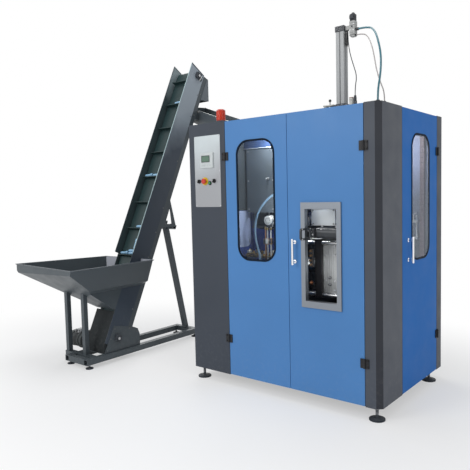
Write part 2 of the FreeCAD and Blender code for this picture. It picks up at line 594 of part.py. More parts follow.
def controls():
    face = "(plate_thick + collar_depth)"
    stem = f"{face} + sheet + 4"
    # stop mushroom, pushed along +Y
    head = turned("stop_head", [(0, 0), ("stem_radius", 0), ("stem_radius", f"{stem} + 9"),
                                ("stop_head_radius", f"{stem} + 11"), ("stop_head_radius", f"{stem} + 18"),
                                ("stop_head_radius - 6", f"{stem} + 23"), (0, f"{stem} + 23")],
                  ("stop_place", "sheet + 4", "switch_level"), (0, 0, 180))
    node("stop_button", head)
    cap = turned("start_cap", [(0, 0), ("stem_radius", 0), ("stem_radius", f"{stem} + 5"),
                               ("stem_radius - 1", f"{stem} + 6"), (0, f"{stem} + 6")],
                 ("button_place", "sheet + 4", "switch_level - button_drop"), (0, 0, 180))
    node("start_button", cap)
    for name, x in (("left_selector", "selector_one"), ("right_selector", "selector_two")):
        shank = cylinder(name + "_shank", (x, f"-{face} - 1", "switch_level"), "stem_radius", f"{stem} - 3", "y")
        disc = cylinder(name + "_disc", (x, f"-{face} - play - 7", "switch_level"), "knob_radius", 7, "y")
        grip = box(name + "_grip", (f"{x} - 4", f"-{face} - play - 18", "switch_level - knob_radius"),
                   (8, 12, "2 * knob_radius"))
        node(name, fuse(name + "_knob", shank, disc, grip))


# ---- roof --------------------------------------------------------------------------------------
def beacon():
    at = ("beacon_x", "beacon_y", top)
    node("beacon_base", turned("beacon_foot", [
        (0, 0), ("beacon_radius + 4", 0), ("beacon_radius + 4", "beacon_base_height - 6"),
        ("beacon_radius", "beacon_base_height"), (0, "beacon_base_height")], at))
    node("beacon_lens", turned("beacon_dome", [
        (0, 0), ("beacon_radius", 0), ("beacon_radius", "beacon_height - 12"),
        ("beacon_radius - 10", "beacon_height"), (0, "beacon_height")], ("beacon_x", "beacon_y", f"{top} + beacon_base_height")))


deck = f"({top} + mount_height + mount_plate)"
cap_low = f"({deck} + flange_height + barrel_length)"


def square(size):
    half = f"{size} / 2"
    return ("polygon", [(f"station_x - {half}", f"station_y - {half}"),
                        (f"station_x + {half}", f"station_y - {half}"),
                        (f"station_x + {half}", f"station_y + {half}"),
                        (f"station_x - {half}", f"station_y + {half}")])


def barrelOutline():
    """Extruded tube section: a square with one clamp groove in the middle of each side."""
    half, groove, deep = "barrel_size / 2", 4, 4
    points = []
    for quarter in range(4):
        for run, out in ((-1, 0), (-groove / 29, 0), (-groove / 29, 1), (groove / 29, 1), (groove / 29, 0)):
            across = f"({half} * {run:.4f})"
            away = f"({half} - {deep * out})"
            spots = {0: (across, f"-{away}"), 1: (away, across),
                     2: (f"-{across}", away), 3: (f"-{away}", f"-{across}")}
            x, y = spots[quarter]
            points.append((f"station_x + {x}", f"station_y + {y}"))
    return ("polygon", points)


def stretchCylinder():
    bore = ("hole", "station_x", "station_y", "rod_radius + play")
    plate = prism("mount_top", [square("mount_width"), ("hole", "station_x", "station_y", "rod_radius + 4")],
                  "mount_plate", at=(0, 0, f"{top} + mount_height"))
    legs = []
    for index in range(4):
        x = f"station_x + {1 if index % 2 else -1} * (mount_width / 2 - 16)"
        y = f"station_y + {1 if index // 2 else -1} * (mount_width / 2 - 16)"
        legs.append(cylinder(f"mount_leg_{index}", (x, y, top), 10, "mount_height"))
    flange = prism("flange", [square("cap_size"), bore], "flange_height", at=(0, 0, deck))
    cap = prism("end_cap", [square("cap_size")], "cap_height", at=(0, 0, cap_low))
    barrel = prism("barrel", [barrelOutline(), ("hole", "station_x", "station_y", "barrel_bore")],
                   "barrel_length", at=(0, 0, f"{deck} + flange_height"))
    node("stretch_cylinder", fuse("mount", plate, *legs), flange, barrel, cap)


valve_x = "(station_x + cap_size / 2 + valve_gap)"


def valve():
    low = f"({cap_low} - 30)"
    bracket = box("valve_bracket", ("station_x + cap_size / 2", "station_y - 15", f"{cap_low} + 4"),
                  ("valve_gap", 30, 26))
    body = box("valve_body", (valve_x, "station_y - 20", low), ("valve_width", 40, "valve_height"))
    foot = box("valve_foot", (f"{valve_x} + 3", "station_y - 17", f"{low} - 15"), ("valve_width - 6", 34, 15))
    coil = box("valve_coil", (f"{valve_x} + 4", "station_y - 18", f"{low} + valve_height"),
               ("valve_width - 8", 36, 46))
    tip = cylinder("valve_tip", (f"{valve_x} + valve_width / 2", "station_y", f"{low} + valve_height + 46"), 9, 10)
    node("solenoid_valve", fuse("valve_block", bracket, body, foot), fuse("valve_head", coil, tip))


# ---- bed, clamp and moulds -----------------------------------------------------------------------
def machineTable():
    """Bed plate on square legs, and a bored deck on four posts that carries the oven's drive."""
    parts = [box("bed_plate", ("bed_left", "bed_front", "bed_top - bed_thick"),
                 ("bed_right - bed_left", "bed_rear - bed_front", "bed_thick"))]
    floor_top = "(foot_height + base_tube)"
    for i, x in enumerate(("bed_left + 20", "(bed_left + bed_right) / 2", "bed_right - bed_leg - 20")):
        for j, y in enumerate(("bed_front + 20", "bed_rear - bed_leg - 20")):
            parts.append(tube(f"bed_leg_{i}{j}", (x, y, floor_top), "bed_leg", f"bed_top - bed_thick - {floor_top}"))
    spindles = [("hole", x, "wheel_y", "spindle_radius + play") for x in ("wheel_one_x", "wheel_two_x")]
    parts.append(prism("deck_plate", [("polygon", [
        ("deck_left", "deck_front"), ("deck_right", "deck_front"), ("deck_right", "deck_rear"),
        ("deck_left", "deck_rear")]), *spindles], "deck_thick", at=(0, 0, "deck_top - deck_thick")))
    for i, x in enumerate(("deck_left", "deck_right - deck_post - 105")):
        for j, y in enumerate(("deck_post_front", "deck_rear - deck_post")):
            parts.append(tube(f"deck_post_{i}{j}", (x, y, "bed_top"), "deck_post", "deck_top - deck_thick - bed_top"))
    body = cylinder("oven_motor_body", ("wheel_one_x", "wheel_y", "deck_top - deck_thick - motor_height"),
                    "motor_radius", "motor_height")
    bore = cylinder("oven_motor_bore", ("wheel_one_x", "wheel_y", "deck_top - deck_thick - 40"),
                    "spindle_radius + play", 41)
    node("machine_table", *parts, cut("oven_motor_case", body, bore))


def clamp():
    plates, cylinders, bars = [], [], []
    level = "clamp_level"
    for side, sign in (("left", -1), ("right", 1)):
        plate_x = "station_x - clamp_reach - end_plate" if sign < 0 else "station_x + clamp_reach"
        plates.append(box(side + "_end_plate", (plate_x, "station_y - platen_width / 2", "bed_top"),
                          ("end_plate", "platen_width", "platen_bottom + platen_height - bed_top")))
        start = "station_x - clamp_reach" if sign < 0 else "station_x + clamp_reach - clamp_cylinder_length"
        tube = cylinder(side + "_clamp_tube", (start, "station_y", level), "clamp_cylinder_radius",
                        "clamp_cylinder_length", "x")
        bore_x = f"({start}) + {20 if sign < 0 else -1}"
        bore = cylinder(side + "_clamp_bore", (bore_x, "station_y", level), "clamp_rod_radius + play",
                        "clamp_cylinder_length - 19", "x")
        cylinders.append(cut(side + "_clamp_cylinder", tube, bore))
    spots = [(f"station_y + {a} * tie_y", f"{level} + {b} * tie_z") for a in (-1, 1) for b in (-1, 1)]
    for index, (y, z) in enumerate(spots):
        bars.append(cylinder(f"tie_bar_{index}", ("station_x - clamp_reach", y, z), "tie_radius",
                             "2 * clamp_reach", "x"))
    node("clamp_frame", *plates, *cylinders, *bars)
    for side, sign in (("left", -1), ("right", 1)):
        inner = "(mould_gap / 2 + mould_thick)"
        slab_x = f"station_x - {inner} - platen_thick" if sign < 0 else f"station_x + {inner}"
        slab = box(side + "_platen_slab", (slab_x, "station_y - platen_width / 2", "platen_bottom"),
                   ("platen_thick", "platen_width", "platen_height"))
        holes = [cylinder(f"{side}_platen_bore_{index}", (f"{slab_x} - 1", y, z), "tie_radius + play",
                          "platen_thick + 2", "x") for index, (y, z) in enumerate(spots)]
        rod_long = "clamp_reach - mould_gap / 2 - mould_thick - platen_thick - clamp_stroke - 30"
        rod_x = f"{slab_x} - ({rod_long})" if sign < 0 else f"{slab_x} + platen_thick"
        rod = cylinder(side + "_clamp_rod", (rod_x, "station_y", level), "clamp_rod_radius", rod_long, "x")
        platen = fuse(side + "_platen", cut(side + "_platen_bored", slab, *holes), rod)
        mould_x = "station_x - mould_gap / 2 - mould_thick" if sign < 0 else "station_x + mould_gap / 2"
        block = box(side + "_mould_block", (mould_x, "station_y - mould_width / 2", "mould_bottom"),
                    ("mould_thick", "mould_width", "mould_height"))
        bottle = turned(side + "_bottle", [
            (0, 0), ("bottle_radius", 0), ("bottle_radius", "bottle_shoulder - bottle_bottom"),
            ("bottle_neck_radius", "bottle_shoulder - bottle_bottom + 60"),
            ("bottle_neck_radius", "mould_bottom + mould_height - bottle_bottom + 1"),
            (0, "mould_bottom + mould_height - bottle_bottom + 1")],
            ("station_x", "station_y", "bottle_bottom"))
        node(side + "_mould", platen, cut(side + "_mould_half", block, bottle))


def stretchUnit():
    """Portal with blow nozzle and guide rods, and the carriage that drives the stretch rod."""
    x, y = "station_x", "station_y"
    under_roof = f"({top} - sheet)"
    rod_hole = ("hole", x, y, "stretch_radius + play")
    column = box("portal_column", (f"{x} - 100", "portal_y", "bed_top"),
                 ("portal_width", "portal_thick", "portal_top - bed_top"))
    bridge = prism("portal_bridge", [("polygon", [
        (f"{x} - 100", "guard_front + 6"), (f"{x} + 100", "guard_front + 6"), (f"{x} + 100", "portal_y"),
        (f"{x} - 100", "portal_y")]), rod_hole], "bridge_thick", at=(0, 0, "bridge_level"))
    nozzle = prism("nozzle", [("hole", x, y, "nozzle_radius"), rod_hole], "bridge_level - nozzle_bottom",
                   at=(0, 0, "nozzle_bottom"))
    guides = [cylinder(f"guide_{i}", (f"{x} + {s} * guide_spread", y, "bridge_level + bridge_thick"),
                       "guide_radius", f"{under_roof} - bridge_level - bridge_thick")
              for i, s in enumerate((-1, 1))]
    rail = box("arm_rail", ("arm_cylinder_end + 13", "rail_front", "hoop_bottom + hoop_height / 2 - rail_height / 2"),
               ("rail_width", "portal_y - rail_front", "rail_height"))
    guard = box("guard_plate", ("guard_left", "guard_front", "bridge_level - 18"),
                ("guard_width", 6, "guard_height"))
    node("stretch_frame", column, bridge, nozzle, rail, guard, *guides)
    slab = prism("carriage_plate", [("polygon", [
        (f"{x} - carriage_width / 2", f"{y} - carriage_depth / 2"),
        (f"{x} + carriage_width / 2", f"{y} - carriage_depth / 2"),
        (f"{x} + carriage_width / 2", f"{y} + carriage_depth / 2"),
        (f"{x} - carriage_width / 2", f"{y} + carriage_depth / 2")]),
        *[("hole", f"{x} + {s} * guide_spread", y, "guide_radius + play") for s in (-1, 1)]],
        "carriage_thick", at=(0, 0, "carriage_level"))
    piston_low = f"({cap_low} - piston_height - 30)"
    rods = turned("carriage_rods", [
        (0, "stretch_tip"), ("stretch_radius - 2", "stretch_tip"), ("stretch_radius", "stretch_tip + 4"),
        ("stretch_radius", "carriage_level"), ("rod_radius", "carriage_level"), ("rod_radius", piston_low),
        ("barrel_bore - play", piston_low), ("barrel_bore - play", f"{piston_low} + piston_height"),
        (0, f"{piston_low} + piston_height")], (x, y, 0))
    node("stretch_carriage", fuse("carriage", slab, rods))


def takeoutArm():
    """Hooped arm that reaches through the front opening, carried by a flat rotary cylinder."""
    high = "hoop_bottom + hoop_height"
    centre = "(hoop_bottom + hoop_height / 2)"
    hoop = prism("arm_hoop", [
        ("rounded", "hoop_front", "hoop_bottom", "hoop_rear", f"({high})", "16"),
        ("rounded", "(hoop_front + hoop_bar)", "(hoop_bottom + hoop_bar)", "(hoop_rear - hoop_bar)",
         f"({high} - hoop_bar)", "8")], "arm_thick", "side", at=("arm_left", 0, 0))
    block = box("arm_block", ("arm_left", "hoop_rear", "hoop_bottom + 16"),
                (30, "arm_cylinder_y - hoop_rear", "hoop_height - 32"))
    drum = cylinder("arm_drum", ("arm_left + 30", "arm_cylinder_y", centre), "arm_cylinder_radius",
                    "arm_cylinder_end - arm_left - 30", "x")
    shoe = box("arm_shoe", ("arm_cylinder_end", "arm_cylinder_y - 24", f"{centre} - rail_height / 2"),
               ("13 - play", 48, "rail_height"))
    node("takeout_arm", hoop, block, drum, shoe)


# ---- oven ---------------------------------------------------------------------------------------
def oven():
    wide, deep = "hood_right - hood_left", "hood_rear - hood_front"
    shell = box("hood_outer", ("hood_left", "hood_front", "hood_bottom"), (wide, deep, "hood_height"))
    hollow = box("hood_inner", ("hood_left + sheet", "hood_front + sheet", "hood_bottom - 1"),
                 (f"{wide} - 2 * sheet", f"{deep} - 2 * sheet", "hood_height - sheet + 1"))
    feet = []
    for i, x in enumerate(("hood_left", "hood_right - 20")):
        for j, y in enumerate(("deck_front", "hood_rear - 20")):
            feet.append(box(f"hood_foot_{i}{j}", (x, y, "deck_top"), (20, 20, "hood_bottom - deck_top + 30")))
    node("oven_hood", fuse("hood", cut("hood_shell", shell, hollow), *feet))
    lamps = []
    for row, y in enumerate(("hood_front + lamp_inset", "hood_rear - lamp_inset")):
        for index in range(int(amount("lamp_count"))):
            lamps.append(cylinder(f"lamp_{row}_{index}", (
                "hood_left + sheet", y, f"lamp_first + {index} * lamp_pitch"), "lamp_radius",
                f"{wide} - 2 * sheet", "x"))
    node("oven_lamps", *lamps)
    for name, x in (("drive_wheel", "wheel_one_x"), ("idler_wheel", "wheel_two_x")):
        node(name, turned(name + "_turned", [
            (0, 0), ("spindle_radius", 0), ("spindle_radius", "chain_level - deck_top + deck_thick + 30"),
            ("wheel_radius - play", "chain_level - deck_top + deck_thick + 30"),
            ("wheel_radius - play", "chain_level - deck_top + deck_thick + 30 + chain_height"),
            (20, "chain_level - deck_top + deck_thick + 30 + chain_height"),
            (20, "chain_level - deck_top + deck_thick + 42 + chain_height"),
            (0, "chain_level - deck_top + deck_thick + 42 + chain_height")],
            (x, "wheel_y", "deck_top - deck_thick - 30")))
    outer = "(wheel_radius + chain_thick)"
    ring = prism("chain_ring", [
        ("rounded", f"(wheel_one_x - {outer})", f"(wheel_y - {outer})", f"(wheel_two_x + {outer})",
         f"(wheel_y + {outer})", f"({outer} - 0.01)"),
        ("rounded", "(wheel_one_x - wheel_radius)", "(wheel_y - wheel_radius)", "(wheel_two_x + wheel_radius)",
         "(wheel_y + wheel_radius)", "(wheel_radius - 0.01)")], "chain_height", at=(0, 0, "chain_level"))
    pegs = []
    for row, sign in enumerate((-1, 1)):
        for index in range(6):
            pegs.append(cylinder(f"mandrel_{row}_{index}", (
                f"wheel_one_x + 5 + {index} * mandrel_pitch",
                f"wheel_y + {sign} * (wheel_radius + chain_thick / 2)", "chain_level + chain_height - 1"),
                "mandrel_radius", "mandrel_height + 1"))
    pegs = [fuse("mandrel_pegs", *pegs)]
    node("mandrel_chain", fuse("chain", ring, *pegs))


# ---- elevator -------------------------------------------------------------------------------------
def elevator():
    wide, deep = "channel_width", "channel_depth"
    end = "(plate_top - top_slope * plate_depth / channel_depth)"
    half_slot = "slot_height / 2"
    top_edge = [("plate_depth", end), (0, "plate_top")]
    near_outline = ("polygon", [(0, "plate_low"), ("plate_depth", "plate_low"), *top_edge])
    # the far plate is set back below the hopper's rim, so that preforms slide onto the belt
    far_outline = ("polygon", [("step_depth", "plate_low"), ("plate_depth", "plate_low"), *top_edge,
                               (0, "step_along"), ("step_depth", "step_along")])
    slot = ("rounded", "slot_front", f"(head_along - {half_slot})", "slot_rear",
            f"(head_along + {half_slot})", "8")
    tail = ("hole", "pulley_depth", "tail_along", "shaft_radius + 4")
    node("elevator_plates", *[
        prism(name, [outline, slot, tail], "sheet", "side", at=(x, 0, 0), frame="incline")
        for name, outline, x in (("far_side_plate", far_outline, "0"),
                                 ("near_side_plate", near_outline, f"{wide} - sheet"))])
    inner = "sheet"
    pan = prism("pan_fold", [("polygon", [
        (inner, "plate_depth - pan_lap"), (f"2 * {inner}", "plate_depth - pan_lap"),
        (f"2 * {inner}", f"{deep} - sheet"), (f"{wide} - 2 * {inner}", f"{deep} - sheet"),
        (f"{wide} - 2 * {inner}", "plate_depth - pan_lap"), (f"{wide} - {inner}", "plate_depth - pan_lap"),
        (f"{wide} - {inner}", deep), (inner, deep)])], "plate_top - top_slope - pan_low",
        at=(0, 0, "pan_low"), frame="incline")
    mouth = box("pan_mouth", ("4 * sheet", f"{deep} - 2 * sheet", "head_along - 170"),
                (f"{wide} - 8 * sheet", "3 * sheet", 190), "incline")
    throat = box("throat_sheet", ("sheet", 0, "plate_low + 60"),
                 (f"{wide} - 2 * sheet", "sheet", "throat_level / sin(incline) - plate_low - 70"), "incline")
    node("elevator_covers", cut("pan", pan, mouth), throat)
    belt(wide)
    for name, z in (("tail_pulley", "tail_along"), ("head_pulley", "head_along")):
        drum = cylinder(name + "_drum", (f"({wide} - belt_width) / 2", "pulley_depth", z), "pulley_radius",
                        "belt_width", "x", "incline")
        shaft = cylinder(name + "_shaft", ("-bearing_depth - 6", "pulley_depth", z), "shaft_radius",
                         f"{wide} + 2 * bearing_depth + 12", "x", "incline")
        node(name, fuse(name + "_turned", drum, shaft))
    blocks = []
    for label, z in (("tail", "tail_along"), ("head", "head_along")):
        for side, x in (("far", "-bearing_depth - sheet"), ("near", f"{wide} + sheet")):
            if label == "head":
                x = x.replace("- sheet", "").replace("+ sheet", "")
            block = box(f"{label}_{side}_block", (x, "pulley_depth - bearing_size / 2", f"{z} - bearing_size / 2"),
                        ("bearing_depth", "bearing_size", "bearing_size"), "incline")
            bore = cylinder(f"{label}_{side}_bore", (f"{x} - 1", "pulley_depth", z), "shaft_radius + pin_clearance",
                            "bearing_depth + 2", "x", "incline")
            blocks.append(cut(f"{label}_{side}_bearing", block, bore))
    node("pulley_bearings", *blocks)


def belt(wide):
    left = f"({wide} - belt_width) / 2"
    inside, outside = "(pulley_radius + play)", "(pulley_radius + play + belt_thick)"

    def oval(name, radius):
        run = box(name + "_run", (left, f"pulley_depth - {radius}", "tail_along"),
                  ("belt_width", f"2 * {radius}", "head_along - tail_along"), "incline")
        turns = [cylinder(f"{name}_turn_{i}", (left, "pulley_depth", z), radius, "belt_width", "x", "incline")
                 for i, z in enumerate(("tail_along", "head_along"))]
        return fuse(name, run, *turns)
    loop = cut("belt_loop", oval("belt_outer", outside), oval("belt_inner", inside))
    cleats = []
    for index in range(int(amount("cleat_count"))):
        z = f"cleat_first + {index} * cleat_pitch - cleat_thick / 2"
        for side, y in (("front", f"pulley_depth - {outside} - cleat_height"),
                        ("back", f"pulley_depth + {outside}")):
            cleats.append(box(f"cleat_{side}_{index}", (left, y, z),
                              ("belt_width", "cleat_height", "cleat_thick"), "incline"))
    node("elevator_belt", loop, *cleats)


def boot():
    """Folded housing round the tail pulley: two side plates and a rear wrapper on the rails."""
    low = "(pad_height + rail_tube)"
    left = "(elevator_left - sheet)"
    wide = "(channel_width + 2 * sheet)"
    outer = prism("boot_outer", [("polygon", [
        (-225, low), (-107, 315), (107, 265), (160, 240), (182, 185), (182, low)])], wide, "side", at=(left, 0, 0))
    inner = prism("boot_inner", [("polygon", [
        (-400, f"{low} + sheet"), (-400, 400), (104, 400), (104, 262), (157, 237), (179, 184),
        (179, f"{low} + sheet")])], "channel_width", "side", at=("elevator_left", 0, 0))
    bore = cylinder("boot_bore", ("-2 * sheet", "pulley_depth", "tail_along"), "shaft_radius + 4",
                    "channel_width + 4 * sheet", "x", "incline")
    node("boot_housing", cut("boot", outer, inner, bore))


def chute():
    """Discharge box behind the head: open toward the belt and at the bottom."""
    head_y = "(elevator_foot + cos(incline) * (plate_top - top_slope) + sin(incline) * channel_depth)"
    head_z = "(sin(incline) * (plate_top - top_slope) - cos(incline) * channel_depth)"
    low_y = f"({head_y} - ({head_z} - chute_low) / tan(incline))"
    outer = prism("chute_outer", [("polygon", [
        (head_y, head_z), (low_y, "chute_low"), ("chute_rear", "chute_low"),
        ("chute_rear", f"{head_z} - 8")])], "channel_width", "side", at=("elevator_left", 0, 0))
    inner = prism("chute_inner", [("polygon", [
        (f"{head_y} - 30", f"{head_z} - 8"), (f"{low_y} - 40", "chute_low - 20"),
        ("chute_rear - sheet", "chute_low - 20"), ("chute_rear - sheet", f"{head_z} - 14")])],
        "channel_width - 2 * sheet", "side", at=("elevator_left + sheet", 0, 0))
    node("discharge_chute", cut("chute", outer, inner))


# ---- hopper ---------------------------------------------------------------------------------------
def hopperSolid(name, inset, rise, rim_extra):
    """The hopper's form as the overlap of its plan, its front view and its side view."""
    near, back = f"hopper_near_x - {inset}", f"hopper_back_y - {inset}"
    high = f"hopper_rim + {rim_extra}"
    plan = prism(name + "_plan", [("polygon", [
        (near, f"hopper_near_front_y + {inset}"), (near, back), (f"hopper_far_back_x + {inset}", back),
        (f"hopper_far_front_x + {inset}", f"hopper_far_front_y + {inset}")])], high, at=(0, 0, 0))
    floor = f"throat_level + {rise}"
    side_in, side_out = f"(elevator_left + channel_width - {inset})", f"(elevator_left + {inset})"
    fold = f"hopper_near_fold + {rise}"
    lean = "hopper_lean / (hopper_rim - hopper_near_fold)"
    front = prism(name + "_front", [("polygon", [
        (f"{near} + {lean} * {rim_extra}", high), (f"{near} - hopper_lean", fold),
        (side_in, f"{fold} - hopper_tuck"), (side_in, floor), (side_out, floor),
        (f"hopper_far_front_x + {inset}", f"hopper_rim - hopper_lip + {rise}"),
        (f"hopper_far_front_x + {inset}", high)])], "hopper_wide + 200", "front",
        at=(0, "hopper_near_front_y - 100", 0))
    throat_y = "(elevator_foot + throat_level / tan(incline))"
    run = "(hopper_rim - hopper_lip - throat_level)"
    lead = f"({throat_y} - hopper_far_front_y / 2 - hopper_near_front_y / 2)"
    back_low = f"({throat_y} + channel_depth / sin(incline))"
    side = prism(name + "_side", [("polygon", [
        (f"{throat_y} - {lead} * ({high} - throat_level - {rise}) / {run}", high),
        (throat_y, floor), (f"{back_low} + {rise} / tan(incline)", floor),
        (back, f"throat_level + ({back} - {back_low}) * tan(incline)"), (back, high)])],
        "hopper_long + 200", "side", at=("hopper_far_front_x - 100", 0, 0))
    return common(name, plan, front, side)


def hopper():
    wall = "sheet"
    shell = cut("hopper_shell", hopperSolid("hopper_outer", "0", "0", "0"),
                hopperSolid("hopper_inner", wall, "1.4 * sheet", "20"),
                box("hopper_channel", (0, 0, 0), ("channel_width", "channel_depth + 60", "plate_top"), "incline"))
    flange = prism("hopper_rim_flange", [("polygon", [
        ("hopper_near_x + hopper_flange", "hopper_near_front_y - hopper_flange"),
        ("hopper_near_x + hopper_flange", "hopper_back_y + hopper_flange"),
        ("hopper_far_back_x - hopper_flange", "hopper_back_y + hopper_flange"),
        ("hopper_far_front_x - hopper_flange", "hopper_far_front_y - hopper_flange")]),
        ("polygon", [("hopper_near_x - 1", "hopper_near_front_y + 1"), ("hopper_near_x - 1", "hopper_back_y - 1"),
                     ("hopper_far_back_x + 1", "hopper_back_y - 1"),
                     ("hopper_far_front_x + 1", "hopper_far_front_y + 1")])],
        "sheet", at=(0, 0, "hopper_rim - sheet"))
    rim = cut("hopper_rim_cut", flange,
              box("rim_channel", (0, 0, 0), ("channel_width", "channel_depth + 60", "plate_top"), "incline"))
    node("hopper", fuse("hopper_weldment", shell, rim))
    legs = []
    for label, x in (("near", "near_leg_x"), ("far", "far_leg_x")):
        bar = box(label + "_leg_bar", (x, "hopper_leg_y", "pad_height + rail_tube"),
                  ("hopper_leg", "hopper_leg", "hopper_rim - pad_height - rail_tube - 60"))
        legs.append(cut(label + "_leg", bar, hopperSolid(label + "_leg_trim", "0", "0", "200")))
    elevatorBase(legs)


def elevatorBase(legs):
    low, size = "pad_height", "rail_tube"
    inner, between = "(far_rail_x + rail_tube)", "near_rail_x - far_rail_x - rail_tube"
    rails = [tube(side + "_rail", (side + "_rail_x", "base_front", low), size, "base_rear - base_front", "y")
             for side in ("near", "far")]
    for label, y in (("front", "base_front"), ("rear", "base_rear - rail_tube"), ("leg", "hopper_leg_y - 5")):
        rails.append(tube(label + "_cross_rail", (inner, y, low), size, between, "x"))
    rails.append(tube("far_leg_rail", ("far_leg_x - 10", "hopper_leg_y - 5", low), size,
                      "far_rail_x - far_leg_x + 10", "x"))
    node("feeder_base", *rails, *legs)
    pads = []
    spots = [(x, y) for x in ("near_rail_x + rail_tube / 2", "far_rail_x + rail_tube / 2")
             for y in ("base_front + 40", "base_rear - 40")]
    spots.append(("far_leg_x + hopper_leg / 2", "hopper_leg_y + 20"))
    for index, (x, y) in enumerate(spots):
        pads.append(turned(f"pad_{index}", [(0, 0), ("pad_radius", 0), ("pad_radius", 8), (9, 14),
                                            (9, "pad_height"), (0, "pad_height")], (x, y, 0)))
    node("levelling_feet", *levellingFeet(), *pads)


def rearSupport():
    triangle = [("channel_depth", "bracket_high"), ("channel_depth", "bracket_low"),
                ("bracket_reach", "bracket_tip")]
    hole_points = [("channel_depth + bracket_bar * 0.9", "bracket_high - bracket_bar * 2.8"),
                   ("channel_depth + bracket_bar * 0.9", "bracket_low + bracket_bar * 1.7"),
                   ("bracket_reach - bracket_bar * 2.6", "bracket_tip + bracket_bar * 0.25")]
    sides = [prism(f"bracket_{side}", [("polygon", triangle), ("polygon", hole_points)], "2 * sheet", "side",
                   at=(x, 0, 0), frame="incline")
             for side, x in (("far", "sheet"), ("near", "channel_width - 3 * sheet"))]
    tie = tube("bracket_tie", ("3 * sheet", "bracket_reach - 30", "bracket_tip - 25"), 40,
               "channel_width - 6 * sheet", "x", "incline")
    post = box("strut_post", ("strut_x", "strut_foot_y", "pad_height + rail_tube - 60"),
               ("strut_size", "strut_size", "strut_length"), turn=(0, 0, "strut_lean"))
    ground = box("strut_ground", ("strut_x - 10", "strut_foot_y - 100", "-100"),
                 ("strut_size + 20", 300, "pad_height + rail_tube + 100"))
    above = box("strut_above", (0, "bracket_reach - 30", "bracket_tip - 25"),
                ("channel_width", 400, 600), "incline")
    node("rear_support", *sides, tie, cut("strut", post, ground, above))


def gearmotor():
    """Belt drive at the tail: chain cover over both shafts, and the motor hung on its outer side."""
    start = "(elevator_left - sheet - bearing_depth - chain_cover - 8)"
    spots = {"motor": ("gearmotor_y", "gearmotor_z", "gearmotor_radius - 8"), "tail": ("tail_y", "tail_z", "cover_round")}
    centres = "sqrt((tail_y - gearmotor_y)^2 + (tail_z - gearmotor_z)^2)"
    lean = "atan2(tail_z - gearmotor_z; tail_y - gearmotor_y)"
    edge = f"acos((gearmotor_radius - 8 - cover_round) / {centres})"
    # the four points where the cover's straight sides meet its round ends
    flanks = [(f"{y} + ({radius}) * cos({lean} {sign} {edge})", f"{z} + ({radius}) * sin({lean} {sign} {edge})")
              for end, sign in (("motor", "-"), ("tail", "-"), ("tail", "+"), ("motor", "+"))
              for y, z, radius in (spots[end],)]
    rounds = [cylinder("cover_" + end, (start, y, z), radius, "chain_cover", "x")
              for end, (y, z, radius) in spots.items()]
    cover = fuse("cover", prism("cover_flanks", [("polygon", flanks)], "chain_cover", "side", at=(start, 0, 0)),
                 *rounds)
    full = "gearmotor_radius"
    motor = turned("gearmotor_body", [
        (0, 0), (full, 0), (full, 14), (f"{full} - 10", 14), (f"{full} - 10", "gearmotor_length - 42"),
        (f"{full} - 4", "gearmotor_length - 42"), (f"{full} - 4", "gearmotor_length - 6"),
        (f"{full} - 14", "gearmotor_length"), (0, "gearmotor_length")],
        (start, "gearmotor_y", "gearmotor_z"), (90, 0, 0))
    spacer = box("cover_spacer", (f"{start} + chain_cover", "gearmotor_y - 30", "gearmotor_z - 30"),
                 ("bearing_depth + 8", 60, 90))
    node("gearmotor", cover, motor, spacer)


